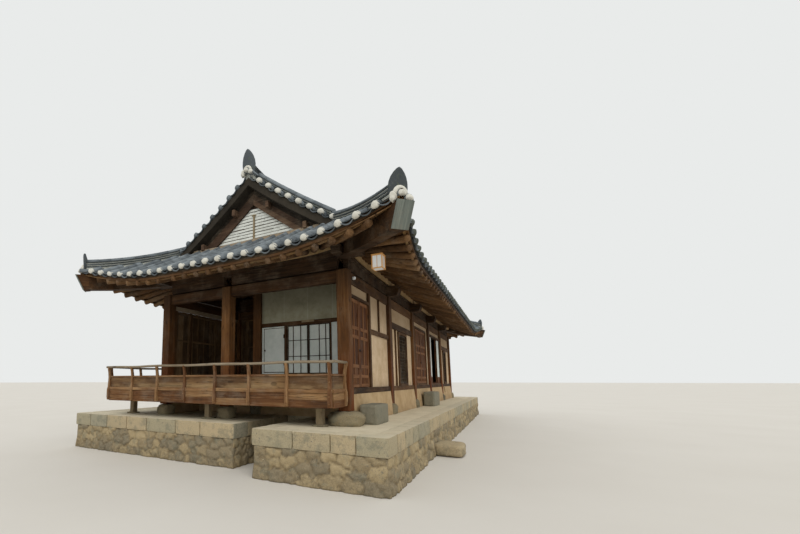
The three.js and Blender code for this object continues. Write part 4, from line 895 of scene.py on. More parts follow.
ROUND_SHORT = round_tile(ROUND * 0.97, ROUND * 0.92, 0.36)
verge_rounds, verge_pans, verge_lips = [], [], []
for side_y in SIDES:
    for face in ("right", "left"):
        for s in climb(VERGE_S + 0.2, EAVE_X - 0.1, ROW):
            for shift, height, out, bag in ((0.0, 0.055, 0.03, verge_rounds), (0.145, 0.02, 0.01, verge_pans),
                                            (0.145, 0.02, 0.012, verge_lips)):
                here = roof_basis(face, s + shift, side_y * (VERGE_Y + out), height)
                bag.append((basis(here.translation, Vector((0, -side_y, 0)), here.col[2].to_3d()), UNIT))
            if face == "right":
                plugs.plug(verge_rounds[-1][0], 0.08, chance.uniform(0.035, 0.05))
repeat("verge_tiles", ROUND_SHORT, verge_rounds, TILE, 0.02, 11, True)
repeat("verge_pans", pan_tile(0.12, 0.03, 0.34), verge_pans, PAN_FINISH, 0.01, 13)
repeat("verge_lips", lip_tile(0.115, 0.045), verge_lips, LIP_FINISH, 0.03, 15)

# Ridges: a mortar core, thin courses of flat tiles that stand out of it, and a round row on top

RIDGE_HEIGHT, SIDE_RIDGE_HEIGHT = 0.34, 0.25
RIDGE_HALF, SIDE_RIDGE_HALF = 0.133, 0.118
PLATE_LENGTH, PLATE_THICK, COURSE = 0.27, 0.026, 0.056
PLATE = loft("flat_tile", [[(at, -1, 0), (at, 1, 0), (at, 1, PLATE_THICK), (at, -1, PLATE_THICK)]
                           for at in (0.0, 1.0)])
CAP = round_tile(0.08, 0.076, ROUND_STEP + 0.02, 0.02)
cores, ridge_plates, ridge_caps = Heap(), [], []


def ridge_line(points, half, rise, seat):
    """A ridge along a line: half its width, the height of its courses, and how deep its core goes."""
    lengths = [0.0]
    for a, b in zip(points, points[1:]):
        lengths.append(lengths[-1] + (b - a).length)
    total = lengths[-1]

    def at(distance):
        n = min(max(i for i, l in enumerate(lengths) if l <= distance + 1e-9), len(points) - 2)
        return points[n].lerp(points[n + 1], (distance - lengths[n]) / (lengths[n + 1] - lengths[n]))

    sheets = []
    for level in (-seat, rise):
        sheet = []
        for here, a, b in zip(points, [points[0]] + points[:-1], points[1:] + [points[-1]]):
            middle, across = here + UP * level, UP.cross(b - a).normalized() * half
            sheet.append([middle - across, middle + across])
        sheets.append(sheet)
    cores.grid(*sheets)
    count = max(1, round(total / PLATE_LENGTH))
    step = total / count
    for level in range(round(rise / COURSE)):
        shift = step * 0.5 * (level % 2)
        height = UP * (rise - 0.024 - COURSE * level)
        for n in range(count + level % 2):
            first, last = max(0.0, n * step - shift), min(total, (n + 1) * step - shift)
            ridge_plates.append((basis(at(first) + height, at(last) - at(first)),
                                 (last - first - 0.004, half + 0.022 + chance.uniform(-0.003, 0.003), 1)))
    count = max(1, round(total / ROUND_STEP))
    for n in range(count):
        first, last = at(total * n / count), at(total * (n + 1) / count)
        ridge_caps.append((basis(first + UP * (rise + 0.022), last - first), UNIT))


def ridge_height(y):
    return roof_top(EAVE_X) + lift(EAVE_Y - abs(y)) + 0.04 * max(0.0, (abs(y) - 5) / 2) ** 2


LEAF_HALF = [(0.4, 0.0), (0.48, 0.16), (0.5, 0.34), (0.47, 0.52), (0.39, 0.69), (0.27, 0.83), (0.12, 0.95),
             (0.0, 1.0)]
LEAF_SECTIONS = ((-0.028, 0.96), (0.0, 1.0), (0.016, 0.97), (0.026, 0.84), (0.032, 0.5))


def leaf_tile(heap, foot, out, width, height, lean):
    """An upright end tile: a pointed leaf that curves back at its edges and leans outwards."""
    outline = LEAF_HALF + [(-x, z) for x, z in reversed(LEAF_HALF[:-1])]
    turn = basis(foot, out) @ Matrix.Rotation(lean, 4, "Y")
    points = [Vector((x - 0.3 * (v * width * share) ** 2 / width, v * width * share,
                      height * (0.42 + (z - 0.42) * share))) for x, share in LEAF_SECTIONS for v, z in outline]
    count, levels = len(outline), len(LEAF_SECTIONS)
    faces = [list(reversed(range(count))), list(range((levels - 1) * count, levels * count))] + bands(levels, count)
    heap.add([turn @ p for p in points], faces, 2, None, points)


def ridge_end(foot, out, width, height, lean):
    """A leaf tile with an arch of lime round its foot, and limed round tiles under it."""
    leaf_tile(leaves, foot, out, width, height, lean)
    across = Vector((-out.y, out.x, 0))
    middle = foot + out * 0.055
    collars.tube([middle + across * c * 0.095 + UP * (s * 0.12) for c, s in half_circle(8)], 0.037, 10, 0.12)
    toe = middle - across * 0.125
    collars.lump(toe + Vector((-0.05, -0.05, -0.12)), toe + Vector((0.05, 0.05, 0.04)), 2.6, 0.35, 6)
    for shift, z in ((0.0, 0.0), (0.12, -0.06)):
        here = basis(middle + across * shift + UP * z + out * 0.05, -out)
        end_rounds.append((here, UNIT))
        plugs.plug(here, 0.066, 0.04)


leaves, collars, end_rounds = Heap(), Heap(), []
reach = VERGE_Y - 0.03
line = [Vector((0, y, ridge_height(y))) for y in np.linspace(-reach, reach, 45)]
ridge_line(line, RIDGE_HALF, RIDGE_HEIGHT - 0.05, 0.12)
for side_y in SIDES:
    foot = Vector((0, side_y * (VERGE_Y - 0.02), ridge_height(VERGE_Y) + 0.1))
    ridge_end(foot, Vector((0, side_y, 0)), 0.38, 0.6, 0.1)
    for side_x in SIDES:
        y, rise = side_y * (GABLE_RIDGE_Y + 0.1), lift(EAVE_Y - GABLE_RIDGE_Y)
        line = [Vector((side_x * (EAVE_X - s), y, roof_top(s) + rise))
                for s in np.linspace(EAVE_X - 0.14, VERGE_S + 0.3, 12)]
        ridge_line(line, SIDE_RIDGE_HALF, SIDE_RIDGE_HEIGHT + 0.03, 0.1)
        for y, z in ((-0.07, 0.06), (0.07, 0.06), (0.0, 0.17)):
            spot = line[-1] + Vector((side_x * 0.02, y, z))
            collars.lump(spot - Vector((0.07, 0.075, 0.07)), spot + Vector((0.07, 0.075, 0.08)), 2.4, 0.3, 5)
        line = [Vector((side_x * (EAVE_X - s), side_y * (EAVE_Y - s), roof_top(s) + lift(s)))
                for s in np.linspace(EAVE_Y - GABLE_RIDGE_Y + 0.05, -0.12, 18)]
        ridge_line(line, SIDE_RIDGE_HALF, SIDE_RIDGE_HEIGHT - 0.06, 0.048)
        out = Vector((side_x, side_y, 0)).normalized()
        ridge_end(line[-1] + out * 0.02, out, 0.33, 0.46, 0.12)
cores.make("ridge_mortar", RIDGE_LIME, "tile", replaces=["main_ridge", "front_ridges", "back_ridges"])
repeat("ridge_courses", PLATE, ridge_plates, RIDGE_FINISH, 0.004, 17)
repeat("ridge_caps", CAP, ridge_caps, TILE, 0.006, 19, True)
repeat("ridge_end_rounds", ROUND_SHORT, end_rounds, TILE, 0.0, 21, True)
leaves.make("end_tiles", END_FINISH, "tile")
collars.make("ridge_end_lime", LIME, "lime", smooth=True)
plugs.make("tile_end_lime", LIME, "lime", smooth=True)
shaded_plugs.make("right_tile_end_lime", SHADED_END_LIME, "lime", smooth=True)

# Gable walls: lapped limed boards with a middle post, and a strip of lime along the top of the hip slope

BOARDS_FOOT, BOARDS_TOP, BOARD_STEP = 5.12, 5.95, 0.078
boards, posts, strips = Heap(), Heap(), Heap()
for side in SIDES:
    near = side * GABLE_Y
    z = BOARDS_FOOT
    while z < BOARDS_TOP:
        top = z + 0.062 + chance.uniform(-0.004, 0.006)
        half = 1.5 * (6.03 - z) / 0.9
        cuts = [-half, chance.uniform(-0.5, -0.2) * half, 0.0, chance.uniform(0.2, 0.6) * half, half]
        for a, b in zip(cuts, cuts[1:]):
            drop = chance.uniform(-0.005, 0.005)
            outline = [(near, z + drop), (near + side * 0.021, z + drop), (near + side * 0.012, top + drop),
                       (near, top + drop)]
            boards.prism(outline, 0, a + 0.002, b - 0.002, 0)
        z += BOARD_STEP
    for half, out, low, high in ((0.022, 0.045, BOARDS_FOOT, 5.78), (0.06, 0.06, 5.78, 5.8)):
        y0, y1 = sorted((near, near + side * out))
        posts.beam((-half, y0, low), (half, y1, high), 2)
    y0, y1 = sorted((near + side * 0.01, near + side * 0.19))
    for n in range(16):
        x0 = -2.24 + n * 0.28
        z0 = on_roof("front" if side < 0 else "back", EAVE_Y - GABLE_Y - 0.12, x0 + 0.14, 0.1).z
        strips.beam((x0, y0, z0 - 0.1), (x0 + 0.279, y1, z0 + 0.01 + chance.uniform(-0.006, 0.006)), cut=0.012)
boards.make("gable_boards", BOARD_LIME, "lime")
posts.make("gable_posts", UNDER_WOOD)
strips.make("gable_foot_lime", STRIP_PLASTER, "lime")

# Verge boarding, which closes the space between the tile bed and each gable's planks, and the planks themselves


def edge_slab(heap, side_x, side_y, levels, places, end):
    """A slab that follows the gable's edge, between two levels and two places in y."""
    heap.grid(*[[[Vector((side_x * (EAVE_X - s), side_y * y, roof_top(s) + lift(EAVE_Y - BARGE_Y) + level))
                  for y in places] for s in np.linspace(VERGE_S + 0.02, end, 12)] for level in levels])


verge, planks = Heap(), Heap()
for side_x, side_y in CORNERS:
    edge_slab(verge, side_x, side_y, (-0.3, -0.2), (BARGE_Y - 0.044, BARGE_Y + 0.002), EAVE_X)
# The boarding's dark finish is painted shade under the verge tiles.
verge.make("verge_boarding", BARGE_WOOD, "dark_wood")
for side_x, side_y in CORNERS:
    for levels in ((-0.44, -0.28), (-0.59, -0.443)):
        edge_slab(planks, side_x, side_y, levels, (BARGE_Y - 0.045, BARGE_Y), EAVE_X - 0.003)
    for x in (0.5, 1.5):
        y0, y1 = sorted((side_y * GABLE_Y, side_y * 6.99))
        z = roof_top(EAVE_X - x) + lift(EAVE_Y - BARGE_Y) - 0.27
        planks.beam((side_x * x - 0.045, y0, z - 0.16), (side_x * x + 0.045, y1, z), 1, 0.008)
planks.make("gable_planks", GABLE_WOOD, replaces=["bargeboards_front", "bargeboards_back"])

# Eaves: board skins, round rafters, pale boards between their ends and the battens along the edge

RAFTER_RADIUS, RAFTER_DROP, RAFTER_STEP = 0.07, 0.068, 0.33
FAN, FAN_END = 8, 1.6
RAFTER = loft("rafter", [[(at, c * r, s * r) for c, s in circle(12)]
                         for at, r in ((0.0, 0.84), (0.01, 0.95), (1.0, 1.04))])


def rafter_lines(face):
    """The outer and inner ends of a side's rafters: straight ones, and a fan of seven at each corner."""
    length = half_length(face)
    half = 5.64 if long_side(face) else 0.99
    count = int(2 * half / RAFTER_STEP)
    lines = []
    for n in range(count + 1):
        along = -half + 2 * half * n / count
        lines.append((on_roof(face, 0.02, along, -RAFTER_DROP, soffit),
                      on_roof(face, MID_S + 0.08, along, -RAFTER_DROP, lower_soffit)))
    for end in SIDES:
        for n in range(1, FAN):
            u = MID_S * n / FAN
            inner_u = MID_S + (u - MID_S) * (MID_S - FAN_END) / MID_S
            lines.append((on_roof(face, 0.02 - bow(u), end * (length - u), -RAFTER_DROP, soffit),
                          on_roof(face, FAN_END, end * (length - inner_u), -RAFTER_DROP, soffit)))
    return lines


def fine(length):
    """Places along a slope from -length to length, close together near its corners."""
    half = [length - u for u in np.linspace(0, CORNER_REACH, 11) if length - u > 0.3]
    return half + ([0.0] if length < 5 else [4, 2, 0, -2, -4]) + [-v for v in reversed(half)]


for face in FACES:
    is_long, length = long_side(face), half_length(face)
    over = length + CORNER_BOW
    stations = fine(over)
    run = 1 if is_long else 0
    sheets = []
    for level in (0.0, 0.024):
        sheet = []
        for s in (0.0, 0.2, 0.45, 0.95, 1.435, 2.16, MID_S):
            row = [reach * (1 if s == 0 else (length - s + 0.02) / over) for reach in stations]
            sheet.append([on_roof(face, s or -bow(length - abs(a)), a, level, soffit) for a in row])
        sheets.append(sheet)
    skin, batten, fascia, pale, infill = Heap(), Heap(), Heap(), Heap(), Heap()
    skin.grid(*sheets, run, 0.5)
    for heap, low, high, inner, outer in ((batten, -0.012, 0.034, 0.075, -0.006), (fascia, 0.034, 0.094, 0.03, 0.004),
                                          (pale, -0.04, -0.012, 0.09, 0.05)):
        heap.grid(*[[[on_roof(face, -bow(length - abs(a)) + d, a, level, lambda s: EAVE_UNDER) for a in stations]
                     for d in (outer, inner)] for level in (low, high)], run)
    skin.make(f"eave_boards_{face}", SIDE_SOFFIT if is_long else END_SOFFIT, replaces=[f"eaves_{face}"])
    reach = length - 1.24
    spots = np.linspace(-reach, reach, 41 if is_long else 17)
    infill.grid(*[[[on_roof(face, s, a, level, soffit) for a in spots] for s in (1.2, 1.24)]
                  for level in (-0.25 if is_long else -0.17, 0.003)], run)
    infill.make(f"rafter_infill_{face}", INFILL, "plaster")
    batten.make(f"eave_battens_{face}", FRAME_WOOD)
    fascia.make(f"eave_fascia_{face}", DARK_DOOR)
    pale.make(f"eave_end_boards_{face}", PALE_WOOD)
    places = [(basis(outer, inner - outer), ((inner - outer).length, RAFTER_RADIUS, RAFTER_RADIUS))
              for outer, inner in rafter_lines(face)]
    repeat(f"rafters_{face}", RAFTER, places, RAFTER_X if is_long else RAFTER_Y, 0.004, 31, True)

# Hip rafter ends: a wedge on each end, cut back below, with a plate on it

wedges, hip_plates = Heap(), Heap()
HIP_END = -0.12
z = soffit(HIP_END) + lift(HIP_END) - 0.066
for side_x in SIDES:
    for side_y in SIDES:
        middle = Vector((side_x * (EAVE_X - HIP_END), side_y * (EAVE_Y - HIP_END), z))
        turn = basis(middle, Vector((side_x, side_y, 0)))
        wedges.prism([(-0.1, -0.345), (0.01, -0.36), (0.21, 0.03), (-0.1, 0.03)], 1, -0.112, 0.112, 0, turn)
        slanted = turn @ Matrix.Translation((0.11, 0, -0.165)) @ Matrix.Rotation(math.atan2(0.2, 0.39), 4, "Y")
        hip_plates.beam((-0.005, -0.145, -0.215), (0.022, 0.145, 0.215), 2, turn=slanted)
wedges.make("hip_rafter_ends", FRAME_WOOD, "dark_wood")
hip_plates.make("hip_rafter_plates", PLATE_GREEN, "dark_wood")

# Walls. The sizes are the CAD's, in millimetres: along a wall, out from its plane, and in height.

WALLS = {"right": (0, 1, 2460), "left": (0, -1, -2460), "back": (1, 1, 7125), "front": (1, -1, -7125),
         "roomFront": (1, -1, -5805), "roomSide": (0, -1, -480), "hallBack": (1, -1, -4075)}
ROWS, COLUMN_HALF = [-4075, -1275, 1525, 4325], 120
EDGES = [-7125, *ROWS, 7125]
BAYS = [(a + COLUMN_HALF, b - COLUMN_HALF) for a, b in zip(EDGES, EDGES[1:])]
END_BAYS = [(-2340, -600), (-360, 2340)]
SILL_FOOT, SILL_TOP, LINTEL_UNDER = 1440, 1560, 3700
COLUMN_FOOT, COLUMN_TOP = 1120, 3940
DOOR_HEAD, LEFT_HEAD, LEFT_POST_TOP = 3480, 3540, 3580
SILL, FACE, TOE, POST = (-60, 90), (35.3, 80), (35.3, 90), (-50, 80)
HEAD, LINTEL, LEAF, ROOM_RAIL = (-49, 82), (-70, 70), (15, 55), (-50, 50)
JAMB, STILE, LEAF_GAP, LAP, UPRIGHT = 70, 70, 8, 5, 2
HALL_DOOR = (-7005, -5810, 1560, 3420)
TOE_POST = (-5810, -5700)
LATTICE_DOOR = (-3045, -2185, 1630, 3040)
WIDE_DOOR = (-845, 935, 1610, DOOR_HEAD)
FOLDING_DOOR = (1715, 4135, 1600, DOOR_HEAD)
BACK_WINDOW = (5275, 5965, 1630, 3040)
HIGH_RAIL, MIDDLE_RAIL = (3130, 3300), (2780, 2890)
PAPER_DOOR = (-360, 340, 1870, 3100)
NARROW_LEAF, BROAD_LEAVES = (-6885, -6385), (-6315, BAYS[0][1])


def on_wall(wall, along, out, z):
    """A point in metres from its place on a wall."""
    axis, side, plane = WALLS[wall]
    point = [along, along, z]
    point[axis] = plane + side * out
    return tuple(v / 1000 for v in point)


def member(heap, wall, a0, a1, depth, z0, z1, run=None, cut=3, shade=None):
    """A timber in a wall plane."""
    ends = on_wall(wall, a0, depth[0], z0), on_wall(wall, a1, depth[1], z1)
    heap.beam(tuple(map(min, *ends)), tuple(map(max, *ends)), run, cut / 1000, shade=shade)


def members(heap, wall, *rows, **settings):
    for row in rows:
        member(heap, wall, *row, **settings)


def casing(heap, wall, opening):
    a0, a1, z0, z1 = opening
    members(heap, wall, *((at, at + JAMB, POST, SILL_TOP - LAP, z1 + JAMB) for at in (a0 - JAMB, a1)),
            (a0, a1, HEAD, z1, z1 + JAMB))
    if z0 > SILL_TOP:
        member(heap, wall, a0, a1, HEAD, SILL_TOP - LAP, z0)


def column(x, y, top=COLUMN_TOP):
    low = (x - COLUMN_HALF, y - COLUMN_HALF, COLUMN_FOOT)
    high = (x + COLUMN_HALF, y + COLUMN_HALF, top)
    columns.beam([v / 1000 for v in low], [v / 1000 for v in high], 2, 0.012)


def lintels_and_sills(heap, wall, spans, parts=((LINTEL, LINTEL_UNDER, COLUMN_TOP), (SILL, SILL_FOOT, SILL_TOP))):
    for a0, a1 in spans:
        members(heap, wall, *((a0 - LAP, a1 + LAP, *part) for part in parts), cut=6)


def shares(low, high, count):
    """Where count equal parts of a length meet."""
    return [low + (high - low) * n / count for n in range(1, count)]


def screen(heap, wall, span, leaves, top=LINTEL_UNDER):
    """Leaves that fill a bay: thin panels between stiles, middle stiles and five rails each."""
    a0, a1 = span
    stile, width = 58, (a1 - a0) / leaves
    bars = 2 if width < 620 else 4
    for n in range(leaves):
        b0, b1 = a0 + n * width + 3, a0 + (n + 1) * width - 3
        for at in (b0, b1 - stile):
            member(heap, wall, at, at + stile, (-26, 22), SILL_TOP, top, shade=0.9)
        for at in shares(b0 + stile / 2, b1 - stile / 2, bars):
            member(heap, wall, at - 11, at + 11, (-21, 14), SILL_TOP, top, shade=0.8)
        for z in (SILL_TOP, 1780, 2130, 2760, top - stile):
            member(heap, wall, b0 + 50, b1 - 50, (-24, 19), z, z + 52, shade=0.95)
        edges = [b0 + 40, *shares(b0 + 40, b1 - 40, bars), b1 - 40]
        for c0, c1 in zip(edges, edges[1:]):
            member(heap, wall, c0, c1, (-16, 0), SILL_TOP + 2, top - 2, UPRIGHT, 1)


right, left, skirting, leaves, ends, back, room, plate, lamp, columns = [Heap() for _ in range(10)]
for y in ROWS:
    column(2460, y)
lintels_and_sills(right, "right", BAYS)
members(right, "right", (*TOE_POST, TOE, SILL_TOP - LAP, LINTEL_UNDER + LAP),
        (HALL_DOOR[0], HALL_DOOR[1] + LAP, TOE, HALL_DOOR[3], DOOR_HEAD),
        (TOE_POST[1] - LAP, BAYS[0][1] + LAP, FACE, *MIDDLE_RAIL),
        (-4990, -4960, FACE, MIDDLE_RAIL[1] - LAP, LINTEL_UNDER + LAP))
for opening in (LATTICE_DOOR, WIDE_DOOR, FOLDING_DOOR, BACK_WINDOW):
    casing(right, "right", opening)
members(right, "right", (BAYS[1][0] - LAP, BAYS[1][1] + LAP, FACE, *HIGH_RAIL),
        (-3440, -3400, FACE, SILL_TOP - LAP, HIGH_RAIL[0] + LAP), (BAYS[4][0] - LAP, BAYS[4][1], FACE, *HIGH_RAIL))
right.make("right_wall_timbers", FRAME_WOOD, replaces=["frame_right"])

for y in ROWS:
    column(-2460, y)
lintels_and_sills(left, "left", BAYS)
members(left, "left", (BAYS[0][0], NARROW_LEAF[0], POST, SILL_TOP - LAP, LEFT_POST_TOP),
        (NARROW_LEAF[1], BROAD_LEAVES[0], POST, SILL_TOP - LAP, LEFT_POST_TOP),
        (BAYS[0][0], BAYS[0][1] + LAP, FACE, LEFT_HEAD, 3590))
left.make("left_wall_timbers", FRAME_WOOD, replaces=["frame_left"])
for a, b in BAYS:
    skirting.beam((-2.5, a / 1000 - 0.02, 0.855), (-2.42, b / 1000 + 0.02, 1.445), 1, 0.01)
skirting.make("left_skirting", MUD, "plaster")
screen(leaves, "left", NARROW_LEAF, 1, LEFT_HEAD)
screen(leaves, "left", BROAD_LEAVES, 2, LEFT_HEAD)
for bay in BAYS[1:]:
    screen(leaves, "left", bay, 2)
screen(leaves, "hallBack", (-2338, -600), 3)
leaves.make("left_wall_leaves", LEAF_WOOD, "dark_wood")

for y in (-7125, 7125):
    for x in (-2460, -480, 2460):
        column(x, y)
lintels_and_sills(ends, "front", END_BAYS, [(LINTEL, LINTEL_UNDER, COLUMN_TOP)])
ends.make("front_lintels", FRAME_WOOD, replaces=["frame_front"])
lintels_and_sills(back, "back", END_BAYS)
for a0, a1 in END_BAYS:
    members(back, "back", (a0 - LAP, a1 + LAP, FACE, *MIDDLE_RAIL),
            ((a0 + a1) / 2 - 20, (a0 + a1) / 2 + 20, FACE, MIDDLE_RAIL[1] - LAP, LINTEL_UNDER + LAP))
back.make("back_wall_timbers", FRAME_WOOD, replaces=["frame_back"])

column(-480, -5805, 4030)
column(-480, -4075)
members(room, "roomFront", (-365, 2424, ROOM_RAIL, 1790, 1870), (-365, 2399, ROOM_RAIL, 1500, SILL_TOP),
        (-365, 2399, (-20, 20), 1555, 1795), (340, 410, POST, 1555, 3105), (1600, 1622, ROOM_RAIL, 1555, 3105),
        (-365, 2424, ROOM_RAIL, 3100, 3200))
members(room, "roomSide", (-5690, -4190, FACE, *MIDDLE_RAIL), (-5690, -4190, SILL, 1500, SILL_TOP),
        (-5690, -4190, LINTEL, LINTEL_UNDER, COLUMN_TOP))
members(room, "hallBack", (-2340, -595, SILL, 1500, SILL_TOP), (-2340, -595, LINTEL, LINTEL_UNDER, COLUMN_TOP))
room.make("room_timbers", FRAME_WOOD, replaces=["room_frame"])
member(plate, "roomFront", 830, 1180, (49, 58), 3150, 3205)
plate.make("head_plate", UNDER_WOOD)
lamp.lump((2.515, -6.84, 3.8), (2.6, -6.75, 3.87), 2.2, 0.0, 6)
lamp.make("dome_lamp", LAMP, "lime", smooth=True)
columns.make("columns", COLUMN_WOOD)

# Hinges, door leaves and windows

arms = Heap()


def hinge(leaf_iron, wall, edge, toward, z0, z1):
    """Two knuckles on a leaf's edge, each over one that an arm holds to the house."""
    low, high = sorted((edge - toward * 13, edge + toward * 4))
    for level in (z0 + 260, z1 - 260):
        x, y, z = on_wall(wall, edge + toward * 10, 65, level)
        leaf_iron.rod((x, y, z), (x, y, z + 0.045), 0.012, 10)
        arms.rod((x, y, z - 0.045), (x, y, z - 0.0005), 0.0115, 10)
        member(arms, wall, low, high, (59, 71), level - 42, level - 6, cut=1)


def ring_pull(heap, wall, at, z):
    """A small round plate with a ring."""
    heap.rod(on_wall(wall, at, LEAF[1], z), on_wall(wall, at, LEAF[1] + 4, z), 0.022)
    ring = [on_wall(wall, at + c * 20, LEAF[1] + 9, z - 20 + s * 20) for c, s in circle(8)]
    for a, b in zip(ring, ring[1:] + ring[:1]):
        heap.rod(a, b, 0.003, 6)


def inside(opening):
    """A leaf's outline in its opening."""
    a0, a1, z0, z1 = opening
    return a0 + LEAF_GAP, a1 - LEAF_GAP, z0 + LEAF_GAP, z1 - LEAF_GAP


def panelled(heap, a0, a1, z0, z1, rails, fields):
    """A leaf of stiles, rails and thin panels behind them, fields wide, with slim bars over its lowest panels."""
    d0, d1 = LEAF
    centre = (d0 + d1) / 2
    # Stiles, rails and bars get light shades and the panels a dark one: painted light on the raised frame, painted
    # shade in the recessed panels.
    member(heap, "right", a0, a0 + STILE, LEAF, z0, z1, shade=0.8)
    member(heap, "right", a1 - STILE, a1, LEAF, z0, z1, shade=0.6)
    levels = [z0, *rails, z1 - STILE]
    for z in levels:
        member(heap, "right", a0 + STILE - 2, a1 - STILE + 2, (d0 + 1, d1 - 2), z, z + STILE, shade=0.95)
    for at in shares(a0, a1, fields):
        member(heap, "right", at - 22, at + 22, (d0 + 2, d1 - LAP), z0 + 20, z1 - 20, shade=0.9)
    edges = [a0 + 20, *shares(a0 + 20, a1 - 20, fields), a1 - 20]
    for c0, c1 in zip(edges, edges[1:]):
        for b0, b1 in zip(levels, levels[1:]):
            member(heap, "right", c0, c1, (centre - 8, centre + 4), b0 + STILE - 10, b1 + 10, UPRIGHT, 1, 0.15)
    for at in shares(a0, a1, 4 * fields):
        member(heap, "right", at - 9, at + 9, (centre, d1 - 9), z0 + STILE - LAP, levels[1] + LAP, UPRIGHT, 2, 0.7)


for door, opening, rails, fields in (("hall_door", HALL_DOOR, [1760, 1970, 2580, 2770], 2),
                                     ("wide_door", WIDE_DOOR, [1780, 2100, 2640, 2880], 3)):
    a0, a1, z0, z1 = inside(opening)
    mid = (a0 + a1) / 2
    for side, b0, b1, edge, toward in (("front", a0, mid - 4, a0, 1), ("back", mid + 4, a1, a1, -1)):
        body, leaf, metal = f"{door}_{side}", Heap(), Heap()
        panelled(leaf, b0, b1, z0, z1, rails, fields)
        hinge(metal, "right", edge, toward, z0, z1)
        ring_pull(metal, "right", mid - toward * 40, 2350)
        leaf.make(f"{body}_leaf_panels", DOOR_WOOD, "wood", body, [f"{body}_leaf"])
        metal.make(f"{body}_leaf_iron", IRON, "wood", body)


def latticed(bars, sheet, wall, a0, a1, z0, z1, across, up, border=45, bar=14):
    """Paper behind a border and a lattice: its bars stand at across and lie at up."""
    d0, d1 = LEAF
    member(sheet, wall, a0 + 5, a1 - 5, (d0, d0 + 8), z0 + 5, z1 - 5, cut=1)
    members(bars, wall, (a0, a0 + border, LEAF, z0, z1), (a1 - border, a1, LEAF, z0, z1),
            *((a0 + border - 2, a1 - border + 2, (d0, d1 - 1), z, z + border) for z in (z0, z1 - border)))
    for at in across:
        member(bars, wall, at - bar / 2, at + bar / 2, (d0 + 4, d0 + 26), z0 + 10, z1 - 10, cut=1)
    for at in up:
        member(bars, wall, a0 + 10, a1 - 10, (d0 + 5, d0 + 24), at - bar / 2, at + bar / 2, cut=1)


bars, sheet, metal = Heap(), Heap(), Heap()
a0, a1, z0, z1 = inside(LATTICE_DOOR)
latticed(bars, sheet, "right", a0, a1, z0, z1, shares(a0 + 42, a1 - 42, 8), shares(z0 + 42, z1 - 42, 14))
hinge(metal, "right", a1, -1, z0, z1)
ring_pull(metal, "right", a0 + 37, 2300)
bars.make("lattice_door_bars", DARK_DOOR, "wood", "lattice_door", ["lattice_door"])
sheet.make("lattice_door_paper", OLD_PAPER, "paper", "lattice_door")
metal.make("lattice_door_iron", IRON, "wood", "lattice_door")

bars, sheet, metal = Heap(), Heap(), Heap()
a0, a1, z0, z1 = inside(PAPER_DOOR)
member(sheet, "roomFront", a0, a1, (17, 53), z0, z1, cut=4)
for b0, b1, c0, c1 in ((a0 + 62, a0 + 80, z0 + 30, z1 - 30), (a0 + 62, a1 - 4, z1 - 46, z1 - 32),
                       (a0 + 62, a1 - 4, z0 + 30, z0 + 50)):
    member(bars, "roomFront", b0, b1, (50, 54.5), c0, c1, cut=1)
hinge(metal, "roomFront", a1, -1, z0, z1)
ring_pull(metal, "roomFront", a0 + 95, 2490)
sheet.make("paper_door_sheet", PAPER, "paper", "paper_door", ["paper_door"])
bars.make("paper_door_edges", DARK_DOOR, "wood", "paper_door")
metal.make("paper_door_iron", IRON, "wood", "paper_door")
arms.make("hinge_arms", IRON)

bars, sheet = Heap(), Heap()
for a0, a1, across in ((410, 1005, (580, 790)), (1005, 1600, (1300, 1470))):
    latticed(bars, sheet, "roomFront", a0, a1, 1870, 3100, across, (2310, 2710), 30, 16)
member(sheet, "roomFront", 1621, 1672, (-48, 30), 1870, 3100)
bars.make("lattice_window_bars", DARK_DOOR, "dark_wood", replaces=["lattice_windows"])
sheet.make("lattice_window_paper", PAPER, "paper")
bars, sheet = Heap(), Heap()
latticed(bars, sheet, "right", *BACK_WINDOW, shares(5320, 5920, 6), shares(1675, 2995, 12))
bars.make("back_window_bars", DARK_DOOR, replaces=["back_window"])
sheet.make("back_window_paper", OLD_PAPER, "paper")

# Folding leaves, folded back at each side of their doorway
bars, sheet = Heap(), Heap()
FOLD_WIDTH = 600
start, end, foot, top = FOLDING_DOOR[0] + 0.3, FOLDING_DOOR[1] - 0.3, *FOLDING_DOOR[2:]
for a0 in (start, end - FOLD_WIDTH):
    for d0, d1 in ((10, 45), (-30, 5)):
        member(sheet, "right", a0 + 12, a0 + FOLD_WIDTH - 12, (d0 + 6, d1 - 4), foot + 12, top - 10, cut=1)
        members(bars, "right", *((a0 + at, a0 + at + 28, (d0, d1), foot, top) for at in (0, FOLD_WIDTH - 28)),
                *((a0 + 26, a0 + FOLD_WIDTH - 26, (d0 + 1, d1 - 1), z, z + 28) for z in (foot, foot + 240, top - 28)))
        member(bars, "right", a0 + 26, a0 + FOLD_WIDTH - 26, (d0 + 2, d1 - 2), foot + 26, foot + 242, UPRIGHT, 1)
member(bars, "right", start, end, (-30, 45), foot, foot + 20)
sheet.make("folding_door_paper", PAPER, "paper", replaces=["folding_doors"])
bars.make("folding_door_frames", DOOR_WOOD)

# Floors: boards across the hall and the room, and along the veranda

BOARD_UNDER, FLOOR_TOP = 1.44, 1.5
floors, veranda = Heap(), Heap()


def board(heap, x0, x1, y0, y1, proud):
    top = FLOOR_TOP + chance.uniform(-0.0015, proud)
    heap.beam((x0 + 0.001, y0 + 0.001, BOARD_UNDER), (x1 - 0.001, y1 - 0.002, top), 0, 0.004)


